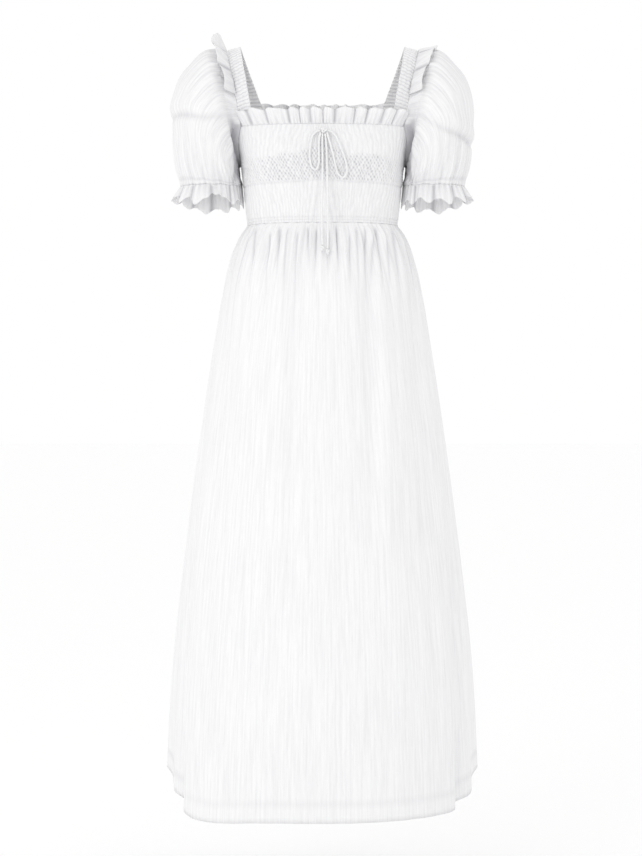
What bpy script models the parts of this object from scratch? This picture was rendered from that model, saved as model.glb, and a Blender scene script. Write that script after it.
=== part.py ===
"""Peasant dress in white crinkle gauze, filled out as when it is worn.

Metres, +Z up. The front faces -Y and "right" is +X, as seen from in front.
The origin lies midway between the tops of the two straps, where shoulders hold the dress.
Every cloth piece is a thin wall: a surface worked out from the sizes below, and the same surface moved in.
"""

import math
from collections import namedtuple

import bmesh
import bpy
import numpy as np

# Driving dimensions
CLOTH = 0.0014            # thickness of a cloth wall
FRILL_CLOTH = 0.0012      # thickness of a frill
SEAM = 0.0003             # gap between two pieces at a seam
WAIST = -0.311            # height of the raised waist seam
HEM = -1.3105             # height of the hem
HEM_TURN = 0.030          # depth of the turned hem
HEM_EXTRA = 0.0010        # what the turned hem adds to the thickness
FRONT_NECK = -0.1455      # height of the front neck seam
BACK_NECK = -0.111        # height of the back neck seam
UNDERARM = -0.205         # height of the underarm point
FRILL_DEPTH = 0.027       # height of the neck frills
CUFF_DEPTH = 0.0310       # height of the cuff frills in front
CUFF_SHORT = 0.0100       # how much shorter they are on the outer side
CUFF_LONG = 0.0060        # how much longer they are behind
CUFF_TUCK = {"right": 0.0, "left": 0.35}   # share of its height that a notch takes from its front
CUFF_NOTCH = 1.36         # where that notch lies, in radians round from the body
PUFF = 0.0020             # how far the smocking stands out
GATHERS = 18              # gathers in each half of the skirt
SKIRT_COLUMNS = 72        # columns of the gathered zone, halved below it
BODICE_COLUMNS = 48
FRONT_ROWS = 14
BACK_ROWS = 12
SLEEVE_COLUMNS = 40
TIE = 0.0036              # diameter of the rouleau tie

# The body of the dress in level sections: half width, depth to the front and to the back, squareness
Section = namedtuple("Section", "height half_width front back power")
BODICE_SECTIONS = [
    Section(-0.090, 0.156, 0.100, 0.086, 2.9),
    Section(-0.1455, 0.155, 0.109, 0.095, 2.9),
    Section(-0.175, 0.1480, 0.119, 0.097, 2.8),
    Section(-0.205, 0.1410, 0.1240, 0.095, 2.6),
    Section(-0.240, 0.1375, 0.1180, 0.091, 2.5),
    Section(-0.275, 0.1340, 0.1065, 0.087, 2.4),
    Section(-0.311, 0.1300, 0.0980, 0.0830, 2.4),
]
SKIRT_SECTIONS = [
    Section(-0.311, 0.1300, 0.0980, 0.0830, 2.4),
    Section(-0.334, 0.1430, 0.1110, 0.0950, 2.4),
    Section(-0.369, 0.1570, 0.1230, 0.1080, 2.35),
    Section(-0.404, 0.1675, 0.1320, 0.1170, 2.3),
    Section(-0.439, 0.1750, 0.1390, 0.1240, 2.25),
    Section(-0.509, 0.1870, 0.1490, 0.1350, 2.2),
    Section(-0.649, 0.2085, 0.1650, 0.1520, 2.15),
    Section(-0.789, 0.2260, 0.1790, 0.1670, 2.1),
    Section(-0.929, 0.2400, 0.1900, 0.1800, 2.1),
    Section(-1.069, 0.2510, 0.2000, 0.1920, 2.1),
    Section(-1.209, 0.2575, 0.2070, 0.2000, 2.1),
    Section(-1.330, 0.2600, 0.2110, 0.2050, 2.1),
]

# The skirt's folds. A turn is in degrees from the front centre, + to the right, 180 at the back.
# Each fold begins at one height, is deepest at another and ends at a third. A negative depth is a ridge.
Fold = namedtuple("Fold", "turn_top turn_low start deepest end half_width depth")
FOLDS = [
    Fold(-45, -34, -0.325, -0.360, -0.520, 0.011, 0.006),
    Fold(-21, -12, -0.325, -0.450, -1.200, 0.015, 0.008),
    Fold(-6, -5, -0.320, -0.345, -0.420, 0.007, 0.004),
    Fold(6, 5, -0.320, -0.345, -0.420, 0.007, 0.004),
    Fold(23, 18, -0.330, -0.370, -0.470, 0.009, 0.005),
    Fold(33, 21, -0.325, -0.450, -1.150, 0.015, 0.008),
    Fold(42, 30, -0.325, -0.360, -0.480, 0.009, 0.005),
    Fold(53, 41, -0.325, -0.360, -0.520, 0.011, 0.005),
    Fold(40, 31, -0.340, -0.600, -1.100, 0.020, -0.005),
    Fold(64, 52, -0.330, -0.560, -1.300, 0.030, 0.008),
    Fold(-64, -52, -0.330, -0.650, -1.300, 0.028, 0.007),
    Fold(-80, -76, -0.400, -1.280, -1.600, 0.024, 0.020),
    Fold(79, 70, -0.400, -1.280, -1.600, 0.024, 0.021),
    Fold(-103, -107, -0.450, -1.290, -1.600, 0.036, -0.030),
    Fold(103, 107, -0.450, -1.290, -1.600, 0.036, -0.030),
    Fold(126, 130, -0.330, -0.500, -1.310, 0.020, 0.009),
    Fold(148, 150, -0.325, -0.420, -0.900, 0.014, 0.007),
    Fold(166, 168, -0.325, -0.470, -1.250, 0.016, 0.009),
    Fold(185, 188, -0.325, -0.380, -0.620, 0.011, 0.006),
    Fold(203, 199, -0.325, -0.460, -1.180, 0.016, 0.009),
    Fold(219, 214, -0.325, -0.390, -0.700, 0.012, 0.006),
    Fold(235, 231, -0.330, -0.520, -1.310, 0.022, 0.009),
]

# A strap's edges: points on the bodice at both ends, and the top of the arch, for the right strap
StrapEdge = namedtuple("StrapEdge", "front_turn back_turn top_x top_y top_z")
STRAP_INNER = StrapEdge(52.6, 128.5, 0.1425, -0.004, 0.0000)
STRAP_OUTER = StrapEdge(63.3, 114.5, 0.1680, -0.003, -0.0065)
STRAP_TUCK = 0.010        # length of strap sewn behind the bodice's edge
STRAP_ARCH = 2.2          # squareness of the arch over the shoulder
STRAP_SET_BACK = 0.0009   # clear space between the bodice and the tucked strap
FRILL_END = 0.030         # radians by which a neck frill stops short of the strap's outer edge
FRILL_FAN = 1.06          # how far the neck frill's free edge fans out
FRILL_SEAT = 0.0037       # height of a shoulder frill's outer face above its seam
SHOULDER_FRILL = 0.032    # width of the shoulder frills
SHOULDER_WAVE = 0.0085    # how far their waves swing out
SHOULDER_TIP = 0.005      # what the left one's raised tip adds
SHOULDER_SPREAD = 0.9     # how much a shoulder frill turns from the sleeve's way out to the side
CREASE_INNER = (0.166, -0.1315)   # X and height of the inner end of the sleeves' crease
CREASE_SLOPES = {"right": -0.45, "left": 0.05}   # rise of the crease, outwards

# Rings of a puff sleeve. The share runs from the armhole to the elastic.
# The ring's nearest and furthest points are at Y = 0, and it reaches this far to the front and back.
Ring = namedtuple("Ring", "share near_x near_z far_x far_z front back")
SLEEVE_RINGS = [
    Ring(0.12, 0.1460, -0.2095, 0.1845, -0.0035, 0.0800, 0.0740),
    Ring(0.25, 0.1457, -0.2145, 0.2070, -0.0060, 0.0920, 0.0850),
    Ring(0.38, 0.1452, -0.2190, 0.2325, -0.0290, 0.0990, 0.0915),
    Ring(0.51, 0.1447, -0.2235, 0.2540, -0.0620, 0.1005, 0.0930),
    Ring(0.63, 0.1443, -0.2280, 0.2635, -0.1050, 0.0970, 0.0900),
    Ring(0.75, 0.1438, -0.2325, 0.2625, -0.1500, 0.0900, 0.0840),
    Ring(0.88, 0.1430, -0.2370, 0.2560, -0.2000, 0.0770, 0.0730),
    Ring(1.00, 0.1418, -0.2420, 0.2465, -0.2425, 0.0590, 0.0570),
]
SLEEVE_ROWS = [0.0, 0.07, 0.19, 0.34, 0.45, 0.53, 0.63, 0.80, 1.0]
RING_POWER = 2.1
HEAD_GATHERS = 15
CUFF_GATHERS = 13

Style = namedtuple("Style", "colour roughness")
WHITE_GAUZE = Style((0.900, 0.900, 0.905), 0.88)
WHITE_TIE = Style((0.920, 0.920, 0.925), 0.80)


def signed_power(value, exponent):
    """The size of the value raised to the exponent, with the value's own sign."""
    return np.sign(value) * np.abs(value) ** exponent


def ease(value):
    """A soft step from 0 to 1."""
    value = np.clip(value, 0.0, 1.0)
    return value * value * (3 - 2 * value)


def read_table(rows, key, name, at):
    """Reads one column smoothly: a cubic between two rows, with the slopes of their neighbours."""
    knots = np.array([getattr(row, key) for row in rows], float)
    values = np.array([getattr(row, name) for row in rows], float)
    if knots[0] > knots[-1]:
        knots = knots[::-1]
        values = values[::-1]
    slopes = np.gradient(values, knots)
    at = np.clip(at, knots[0], knots[-1])
    low = np.clip(np.searchsorted(knots, at) - 1, 0, len(knots) - 2)
    span = knots[low + 1] - knots[low]
    t = (at - knots[low]) / span
    start = values[low] * (1 + 2 * t) * (1 - t) ** 2 + span * slopes[low] * t * (1 - t) ** 2
    finish = values[low + 1] * t * t * (3 - 2 * t) - span * slopes[low + 1] * t * t * (1 - t)
    return start + finish


def section_radius(table, turn, height):
    """Distance from the upright axis to the section's outline, in the direction of the turn."""
    width = read_table(table, "height", "half_width", height)
    front = read_table(table, "height", "front", height)
    back = read_table(table, "height", "back", height)
    power = read_table(table, "height", "power", height)
    depth = np.where(np.cos(turn) > 0, front, back)
    reach = np.abs(np.sin(turn) / width) ** power + np.abs(np.cos(turn) / depth) ** power
    return reach ** (-1 / power)


def around(radius, turn, height):
    """Points at this distance from the axis. Turn 0 faces the front, and a quarter turn faces right."""
    height = np.broadcast_to(height, np.shape(turn))
    return np.stack([radius * np.sin(turn), -radius * np.cos(turn), height], axis=-1)


def bodice_point(turn, height):
    return around(section_radius(BODICE_SECTIONS, turn, height), turn, height)


def gather_wave(turn, height):
    """The fine gathers under the waist seam, uneven round the waist, fading down the skirt."""
    phase = 2 * GATHERS * turn + 0.9 * np.sin(3 * turn + 0.7) + 0.5 * np.sin(7 * turn)
    drop = WAIST - height
    strength = 0.0006 + 0.0024 * ease(drop / 0.022)
    strength = strength * (1 - ease((drop - 0.035) / 0.110))
    return strength * np.cos(phase)


def fold_depth(turn, height, radius):
    """How far all the folds push the cloth inwards here."""
    total = np.zeros(np.shape(turn))
    for fold in FOLDS:
        along = np.clip((fold.start - height) / (fold.start - fold.end), 0, 1)
        middle = np.radians(fold.turn_top + (fold.turn_low - fold.turn_top) * along)
        away = (turn - middle + math.pi) % (2 * math.pi) - math.pi
        grow = ease((fold.start - height) / (fold.start - fold.deepest))
        fade = 1 - ease((fold.deepest - height) / (fold.deepest - fold.end))
        total = total + fold.depth * grow * fade * np.exp(-((away * radius / fold.half_width) ** 2))
    return total


def skirt_point(turn, height):
    """The skirt's outer surface: its level section with the gathers and folds."""
    height = np.broadcast_to(height, np.shape(turn))
    radius = section_radius(SKIRT_SECTIONS, turn, height)
    radius = radius + gather_wave(turn, height) - fold_depth(turn, height, radius)
    return around(radius, turn, height)


def hem_height(turn):
    """The hem is level but for a small dip at the front left and a small rise at both sides."""
    away = (turn - math.radians(-58) + math.pi) % (2 * math.pi) - math.pi
    dip = 0.012 * np.exp(-((away / 0.42) ** 2))
    rise = 0.042 * np.exp(-(((np.abs(turn) - math.radians(104)) / 0.40) ** 2))
    return HEM - dip + rise


def outward(surface, first, second, step_first, step_second):
    """The unit normal of a surface of two parameters, from small steps both ways."""
    along_first = surface(first + step_first, second) - surface(first - step_first, second)
    along_second = surface(first, second + step_second) - surface(first, second - step_second)
    normal = np.cross(along_first, along_second)
    return normal / np.linalg.norm(normal, axis=-1, keepdims=True)


def grid_normals(rows, ring):
    """Unit normals of a grid of points, from the neighbours of each point."""
    across = np.roll(rows, -1, axis=1) - np.roll(rows, 1, axis=1)
    if not ring:
        across[:, 0] = rows[:, 1] - rows[:, 0]
        across[:, -1] = rows[:, -1] - rows[:, -2]
    down = np.gradient(rows, axis=0)
    normal = np.cross(across, down)
    return normal / np.maximum(np.linalg.norm(normal, axis=-1, keepdims=True), 1e-12)


def strip(first, second):
    """Triangles between two chains of vertex numbers, whatever their counts."""
    faces = []
    a = 0
    b = 0
    last_a = len(first) - 1
    last_b = len(second) - 1
    while a < last_a or b < last_b:
        if b == last_b or (a < last_a and (a + 1) * last_b <= (b + 1) * last_a):
            faces.append((first[a], first[a + 1], second[b]))
            a += 1
        else:
            faces.append((first[a], second[b + 1], second[b]))
            b += 1
    return faces


def skin(chains):
    """Faces over a stack of chains: four-sided between equal chains, triangles between unequal ones."""
    faces = []
    for upper, lower in zip(chains, chains[1:]):
        if len(upper) == len(lower):
            for k in range(len(upper) - 1):
                faces.append((upper[k], upper[k + 1], lower[k + 1], lower[k]))
        else:
            faces.extend(strip(upper, lower))
    return faces


def numbered(rows, first_number, ring):
    """Vertex numbers for rows of points, closed up where the piece is a ring."""
    chains = []
    number = first_number
    for row in rows:
        chain = list(range(number, number + len(row)))
        number += len(row)
        chains.append(chain + chain[:1] if ring else chain)
    return chains


def add_wall(name, outer, inner, style, ring=False):
    """One closed cloth wall between an outer and an inner stack of rows."""
    points = np.concatenate(list(outer) + list(inner))
    outer_chains = numbered(outer, 0, ring)
    inner_chains = numbered(inner, sum(len(row) for row in outer), ring)
    faces = skin(outer_chains) + [face[::-1] for face in skin(inner_chains)]
    faces += strip(inner_chains[0], outer_chains[0])
    faces += strip(outer_chains[-1], inner_chains[-1])
    if not ring:
        faces += strip([chain[0] for chain in outer_chains], [chain[0] for chain in inner_chains])
        faces += strip([chain[-1] for chain in inner_chains], [chain[-1] for chain in outer_chains])
    mesh = bpy.data.meshes.new(name)
    mesh.from_pydata([tuple(point) for point in points], [], faces)
    return add_mesh(name, mesh, style)


def add_mesh(name, mesh, style):
    """Puts a mesh in the dress's collection, with its faces pointing out and its own material."""
    shape = bmesh.new()
    shape.from_mesh(mesh)
    bmesh.ops.recalc_face_normals(shape, faces=shape.faces)
    shape.to_mesh(mesh)
    shape.free()
    piece = bpy.data.objects.new(name, mesh)
    give_material(piece, style)
    dress.objects.link(piece)
    return piece


def give_material(piece, style):
    material = bpy.data.materials.new(piece.name)
    material.use_nodes = True
    shader = material.node_tree.nodes["Principled BSDF"]
    shader.inputs["Base Color"].default_value = (*style.colour, 1.0)
    shader.inputs["Roughness"].default_value = style.roughness
    shader.inputs["Metallic"].default_value = 0.0
    piece.data.materials.append(material)


def panel_turns(half, columns):
    """Turns across a front or back panel, from side seam to side seam, each short of it by half a gap."""
    middle = 0.0 if half == "front" else math.pi
    short = 0.5 * SEAM / 0.14
    return np.linspace(middle - math.pi / 2 + short, middle + math.pi / 2 - short, columns + 1)


def build_skirt(half):
    """A skirt panel with a close grid in the gathers, a wider one below, and a thicker turned hem."""
    close = panel_turns(half, SKIRT_COLUMNS)
    wide = close[::2]
    wrapped = (wide + math.pi) % (2 * math.pi) - math.pi
    hem = hem_height(wrapped)
    rows = []
    for height in (WAIST - SEAM / 2, -0.330, -0.360, -0.400):
        rows.append((close, np.full(close.shape, height), CLOTH))
    for height in (-0.455, -0.550, -0.680, -0.830, -0.990, -1.140):
        rows.append((wide, np.full(wide.shape, height), CLOTH))
    rows.append((wide, hem + HEM_TURN + 0.003, CLOTH))
    rows.append((wide, hem + HEM_TURN, CLOTH + HEM_EXTRA))
    rows.append((wide, hem, CLOTH + HEM_EXTRA))
    outer = []
    inner = []
    for turns, heights, thickness in rows:
        normal = outward(skirt_point, turns, heights, 0.004, 0.002)
        points = skirt_point(turns, heights)
        outer.append(points)
        inner.append(points - normal * thickness)
    add_wall(f"skirt_{half}", outer, inner, WHITE_GAUZE)


def strap_turn(half, edge):
    """The turn of a strap's edge where it meets the front or the back neck seam."""
    return math.radians(edge.front_turn if half == "front" else edge.back_turn)


def bodice_top(half, turn):
    """The panel's upper edge: the neck seam between the straps, and the armhole down to the underarm."""
    neck = FRONT_NECK if half == "front" else BACK_NECK
    corner = strap_turn(half, STRAP_OUTER)
    from_side = np.abs(np.abs(turn) - math.pi / 2)
    reach = abs(corner - math.pi / 2)
    share = np.clip(from_side / reach, 0, 1)
    return UNDERARM + (neck - UNDERARM) * share ** 1.9


def build_bodice(half, rows_up):
    """A bodice panel. Its smocking is raised in the outer points, in a net of staggered puffs."""
    turns = panel_turns(half, BODICE_COLUMNS)
    wrapped = (turns + math.pi) % (2 * math.pi) - math.pi
    top = bodice_top(half, wrapped)
    base = WAIST + SEAM / 2
    outer = []
    for row in range(rows_up + 1):
        heights = base + (top - base) * row / rows_up
        points = bodice_point(turns, heights)
        if 0 < row < rows_up:
            columns = np.arange(BODICE_COLUMNS + 1)
            raised = (columns + row) % 2 == 0
            inside = (columns > 1) & (columns < BODICE_COLUMNS - 1)
            puff = PUFF * raised * inside
            points = points + outward(bodice_point, turns, heights, 0.004, 0.002) * puff[:, None]
        outer.append(points)
    inner = []
    for share in (0.0, 0.3, 0.55, 0.76, 0.9, 1.0):
        heights = base + (top - base) * share
        normal = outward(bodice_point, turns, heights, 0.004, 0.002)
        inner.append(bodice_point(turns, heights) - normal * CLOTH)
    add_wall(f"bodice_{half}", outer, inner, WHITE_GAUZE)


def seat_under_bodice(half, turn, height):
    """A point just inside the bodice's wall, where a strap is sewn behind its edge."""
    turn = np.asarray(turn, float)
    normal = outward(bodice_point, turn, height, 0.004, 0.002)
    return bodice_point(turn, height) - normal * (CLOTH + STRAP_SET_BACK)


def strap_edge(edge, along):
    """A point on a strap's edge. Along runs from 0 at the front seam, over the shoulder, to 1 at the back."""
    points = []
    for share in np.atleast_1d(along):
        half = "front" if share <= 0.5 else "back"
        neck = FRONT_NECK if half == "front" else BACK_NECK
        base = seat_under_bodice(half, strap_turn(half, edge), neck)
        top = np.array([edge.top_x, edge.top_y, edge.top_z])
        angle = math.pi * (share if half == "front" else 1 - share)
        rise = math.sin(angle) ** (2 / STRAP_ARCH)
        level = abs(math.cos(angle)) ** (2 / STRAP_ARCH)
        x = base[0] + (top[0] - base[0]) * rise
        y = top[1] + (base[1] - top[1]) * level
        z = base[2] + (top[2] - base[2]) * rise
        points.append((x, y, z))
    return np.array(points)


def strap_rows(count):
    """Inner edge, middle and outer edge of the right strap, in rows from the front tuck to the back tuck."""
    rows = []
    for half, order in (("front", 1), ("back", -1)):
        neck = FRONT_NECK if half == "front" else BACK_NECK
        tuck = []
        for depth in (STRAP_TUCK, STRAP_TUCK / 2):
            ends = [seat_under_bodice(half, strap_turn(half, edge), neck - depth)
                    for edge in (STRAP_INNER, STRAP_OUTER)]
            tuck.append(ends)
        rows.append(tuck[::order])
    over = []
    for along in np.linspace(0, 1, count):
        over.append([strap_edge(STRAP_INNER, along)[0], strap_edge(STRAP_OUTER, along)[0]])
    edges = np.array(rows[0] + over + rows[1])
    crown = strap_crown(edges)
    crown[:3] = 0
    crown[-3:] = 0
    middle = edges.mean(axis=1) + crown
    return np.stack([edges[:, 0], middle, edges[:, 1]], axis=1)


def strap_crown(edges):
    """A strap is slightly crowned across: its middle stands out by half a millimetre."""
    along = np.gradient(edges.mean(axis=1), axis=0)
    normal = np.cross(edges[:, 1] - edges[:, 0], along)
    normal = normal / np.linalg.norm(normal, axis=1, keepdims=True)
    return 0.0005 * normal


def mirrored(rows):
    """The same rows on the other side of the dress."""
    return [row * np.array([-1.0, 1.0, 1.0]) for row in rows]


def add_pair(name, outer, inner, style, ring=False):
    """A piece on the right and its mirror image on the left."""
    add_wall(f"{name}_right", outer, inner, style, ring)
    add_wall(f"{name}_left", mirrored(outer), mirrored(inner), style, ring)


def build_straps():
    """Straps with fine ribs across, raised in the outer points over a plain inside."""
    rows = strap_rows(45)
    normal = grid_normals(rows, False)
    rib = np.where(np.arange(len(rows)) % 2 == 0, 0.0009, 0.0)
    rib[:3] = 0
    rib[-3:] = 0
    outer = rows + normal * rib[:, None, None]
    plain = np.arange(len(rows)) % 3 == 0
    plain[-1] = True
    inner = (rows - normal * CLOTH)[plain]
    add_pair("strap", list(outer), list(inner), WHITE_GAUZE)


def frill_surface(base, out, up, depth, lean, waves, amplitude, phase):
    """Rows of a frill: from the base line it rises by its depth, leans out and waves more and more.

    The waves swing outwards from the plain strip only, so the frill never reaches behind its seam.
    """
    count = len(base)
    share = np.linspace(0, 1, count)
    uneven = share + 0.018 * np.sin(2 * math.pi * 2.3 * share + phase)
    uneven = uneven + 0.009 * np.sin(2 * math.pi * 5.3 * share + 2.1 * phase)
    swing = 0.5 - 0.5 * np.cos(2 * math.pi * waves * uneven + phase)
    taper = ease(share / 0.05) * ease((1 - share) / 0.05)
    swing = swing * (0.35 + 0.65 * taper)
    rows = []
    for height in (0.0, 0.5, 1.0):
        away = np.broadcast_to(lean, share.shape) * height + amplitude * swing * height ** 1.3
        fluted = depth * height * (1 - 0.06 * np.cos(2 * math.pi * waves * uneven + phase + 1.2) * height)
        rows.append(base + out * away[:, None] + up * np.reshape(fluted, (-1, 1)))
    return np.array(rows)


def build_neck_frill(half, waves, columns):
    """A frill standing above the neck seam, with uneven waves that open towards its free edge.

    Its two ends fan out past the strap and lean away from the body, to pass in front of the sleeve.
    """
    neck = FRONT_NECK if half == "front" else BACK_NECK
    middle = 0.0 if half == "front" else math.pi
    corner = abs(strap_turn(half, STRAP_OUTER) - middle) - FRILL_END
    turns = middle + np.linspace(-corner, corner, columns + 1)
    base = bodice_point(turns, neck + SEAM)
    facing = np.array([0.0, -0.6 if half == "front" else 0.6, 0.0])
    out = around(np.ones(turns.shape), turns, 0.0) + facing
    out = out / np.linalg.norm(out, axis=1, keepdims=True)
    fan = bodice_point(middle + (turns - middle) * FRILL_FAN, neck + SEAM) - base
    up = np.array([0.0, 0.0, 1.0]) + fan / FRILL_DEPTH
    lean = 0.0020 + 0.0062 * np.linspace(-1, 1, columns + 1) ** 4
    outer = frill_surface(base, out, up, FRILL_DEPTH, lean, waves, 0.0075, 0.6)
    add_frill(f"neck_frill_{half}", outer, out)


def add_frill(name, outer, out, flip=False):
    """A frill's wall from its outer rows. Its foot is cut square to the way that it faces."""
    normal = grid_normals(outer, False)
    if (normal[1] * out).sum() < 0:
        normal = -normal
    inner = outer - normal * FRILL_CLOTH
    inner[0] = outer[0] - out * FRILL_CLOTH
    if flip:
        outer = mirrored(outer)
        inner = mirrored(inner)
    add_wall(name, list(outer), list(inner), WHITE_GAUZE)


def build_shoulder_frills():
    """Frills sewn in above the seam of strap and sleeve.

    They are tilted up from the way that the sleeve leaves the seam. The left one stands up behind the shoulder,
    and the right one lies flat there.
    """
    columns = 30
    along = np.linspace(0.115, 0.88, columns + 1)
    seam = strap_edge(STRAP_OUTER, along)
    leave = sleeve_leaving(seam) + np.array([SHOULDER_SPREAD, 0.0, 0.0])
    leave = leave / np.linalg.norm(leave, axis=1, keepdims=True)
    forward = np.gradient(seam, axis=0)
    above = np.cross(leave, forward)
    above = above / np.linalg.norm(above, axis=1, keepdims=True)
    base = seam + above * FRILL_SEAT
    share = np.linspace(0, 1, columns + 1)
    for side in ("right", "left"):
        if side == "right":
            top = np.exp(-(((share - 0.48) / 0.24) ** 2))
            tilt = np.radians(24 - 19 * top)
            width = SHOULDER_FRILL
            wave = SHOULDER_WAVE * (1 - 0.8 * top)
        else:
            tip = np.exp(-(((share - 0.60) / 0.14) ** 2))
            tilt = np.radians(28 + 24 * tip)
            width = SHOULDER_FRILL + SHOULDER_TIP * tip
            wave = SHOULDER_WAVE
        up = leave * np.cos(tilt)[:, None] + above * np.sin(tilt)[:, None]
        out = above * np.cos(tilt)[:, None] - leave * np.sin(tilt)[:, None]
        outer = frill_surface(base, out, up, width, 0.001, 5.5, wave, 0.9)
        add_frill(f"shoulder_frill_{side}", outer, out, flip=(side == "left"))


def sleeve_leaving(seam):
    """The way that the sleeve leaves each of these points of the armhole."""
    line = armhole_line()
    closed = np.vstack([line, line[:1]])
    length = np.concatenate([[0], np.cumsum(np.linalg.norm(np.diff(closed, axis=0), axis=1))])
    nearest = [np.argmin(np.linalg.norm(line - point, axis=1)) for point in seam]
    angles = 2 * math.pi * length[nearest] / length[-1]
    leave = sleeve_ring(0.25, angles) - seam
    return leave / np.linalg.norm(leave, axis=1, keepdims=True)


def resample(line, count):
    """Points at equal steps along a closed line, the first point kept."""
    closed = np.vstack([line, line[:1]])
    steps = np.linalg.norm(np.diff(closed, axis=0), axis=1)
    length = np.concatenate([[0], np.cumsum(steps)])
    wanted = np.linspace(0, length[-1], count, endpoint=False)
    return np.stack([np.interp(wanted, length, closed[:, axis]) for axis in range(3)], axis=1)


def armhole_line():
    """The right armhole from the underarm up the front edge, over the strap's outer edge and down the back."""
    front = np.linspace(math.pi / 2, strap_turn("front", STRAP_OUTER), 14)
    back = np.linspace(strap_turn("back", STRAP_OUTER), math.pi / 2, 14)[:-1]
    front_edge = bodice_point(front, bodice_top("front", front))
    back_edge = bodice_point(back, bodice_top("back", back))
    strap = strap_edge(STRAP_OUTER, np.linspace(0.04, 0.96, 40))
    return np.vstack([front_edge, strap, back_edge])


def sleeve_ring(share, angles):
    """A ring of the puff sleeve, from its near point by the body round the front."""
    read = {name: read_table(SLEEVE_RINGS, "share", name, share) for name in Ring._fields[1:]}
    near = np.array([read["near_x"], 0.0, read["near_z"]])
    far = np.array([read["far_x"], 0.0, read["far_z"]])
    toward = signed_power(-np.cos(angles), 2 / RING_POWER)
    side = signed_power(-np.sin(angles), 2 / RING_POWER)
    reach = np.where(side < 0, read["front"], read["back"])
    points = (near + far) / 2 + toward[:, None] * (far - near) / 2
    points[:, 1] += side * reach
    return points


def sleeve_rows():
    """The rings of the right sleeve, the first one along the armhole."""
    angles = np.linspace(0, 2 * math.pi, SLEEVE_COLUMNS, endpoint=False)
    armhole = resample(armhole_line(), SLEEVE_COLUMNS)
    first_ring = SLEEVE_RINGS[0].share
    leave = sleeve_ring(first_ring, angles) - armhole
    leave[:, 2] = 0
    leave = leave / np.linalg.norm(leave, axis=1, keepdims=True)
    armhole = armhole + leave * 3 * SEAM
    rows = []
    for share in SLEEVE_ROWS:
        if share < first_ring:
            blend = share / first_ring
            points = armhole * (1 - blend) + sleeve_ring(first_ring, angles) * blend
        else:
            points = sleeve_ring(share, angles)
        rows.append(points)
    return np.array(rows), angles


def build_sleeves():
    """Puff sleeves: gathers at the head and at the elastic, and one soft crease across the front.

    Beside the armhole's lower half the cloth is sunk, so that the puff overhangs it in front and behind.
    The two sleeves differ in the slope of the crease.
    """
    rows, angles = sleeve_rows()
    normal = grid_normals(rows, True)
    centre = rows.mean(axis=(0, 1))
    if ((rows - centre) * normal).sum() < 0:
        normal = -normal
    share = np.array(SLEEVE_ROWS)[:, None]
    upper = np.clip(-np.cos(angles) + 0.5, 0, 1)[None, :]
    head = 0.0022 * np.sin(HEAD_GATHERS * angles + 0.8 * np.sin(2 * angles))[None, :] * upper
    head = head * ease(share / 0.06) * (1 - ease((share - 0.10) / 0.26))
    cuff = 0.0022 * np.cos(CUFF_GATHERS * angles + 0.7 * np.sin(3 * angles))[None, :]
    cuff = cuff * ease((share - 0.62) / 0.26) * (1 - 0.45 * ease((share - 0.90) / 0.10))
    outer_front = np.clip(np.sin(angles) * 0.8 - np.cos(angles) * 0.6, 0, 1)[None, :]
    underarm = np.minimum(angles, 2 * math.pi - angles)[None, :]
    dent = -0.0120 * np.exp(-(((underarm - 0.85) / 0.45) ** 2)) * np.exp(-(((share - 0.08) / 0.05) ** 2))
    for side, slope in CREASE_SLOPES.items():
        above = rows[:, :, 2] - CREASE_INNER[1] - slope * (rows[:, :, 0] - CREASE_INNER[0])
        crease = (0.0030 * np.exp(-(((above - 0.020) / 0.014) ** 2))
                  - 0.0050 * np.exp(-((above / 0.012) ** 2))) * outer_front * ease(share / 0.3)
        outer = rows + normal * (head + cuff + crease + dent)[:, :, None]
        inward = grid_normals(outer, True)
        if ((rows - centre) * inward).sum() < 0:
            inward = -inward
        inner = outer - inward * CLOTH
        inner[-1, :, 2] = outer[-1, :, 2]
        if side == "left":
            add_wall("sleeve_left", mirrored(outer), mirrored(inner), WHITE_GAUZE, ring=True)
        else:
            add_wall("sleeve_right", list(outer), list(inner), WHITE_GAUZE, ring=True)
    return outer[-1], angles


def build_cuff_frills(elastic, angles):
    """Frills below the sleeve's elastic, opening into uneven waves. The left one is tucked up in front."""
    centre = elastic.mean(axis=0)
    away = elastic - centre
    away[:, 2] = 0
    away = away / np.linalg.norm(away, axis=1, keepdims=True)
    toward_body = np.clip(-away[:, 0], 0, 1)
    shorter = CUFF_SHORT * np.clip(away[:, 0], 0, 1) ** 2
    longer = CUFF_LONG * np.clip(away[:, 1], 0, 1) ** 2
    reach = 0.0130 - 0.0110 * toward_body
    wave = 0.5 - 0.5 * np.cos(12 * angles + 0.8 * np.sin(2 * angles) + 0.5)
    for side, tuck in CUFF_TUCK.items():
        tucked = tuck * np.exp(-(((angles - CUFF_NOTCH) / 0.16) ** 2))
        outer = []
        for height in (0.0, 0.5, 1.0):
            out = reach * height + 0.0068 * (wave - 0.5) * (1 - 0.6 * toward_body) * height ** 1.2
            fluted = 1 + (0.15 * np.cos(12 * angles + 2.0) - tucked) * height
            points = elastic + away * out[:, None]
            points[:, 2] -= SEAM + height * (CUFF_DEPTH * fluted - shorter + longer)
            outer.append(points)
        outer = np.array(outer)
        normal = grid_normals(outer, True)
        if (normal * away[None, :, :]).sum() < 0:
            normal = -normal
        inner = outer - normal * FRILL_CLOTH
        inner[0, :, 2] = outer[0, :, 2]
        if side == "left":
            add_wall("cuff_frill_left", mirrored(outer), mirrored(inner), WHITE_GAUZE, ring=True)
        else:
            add_wall("cuff_frill_right", list(outer), list(inner), WHITE_GAUZE, ring=True)


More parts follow.
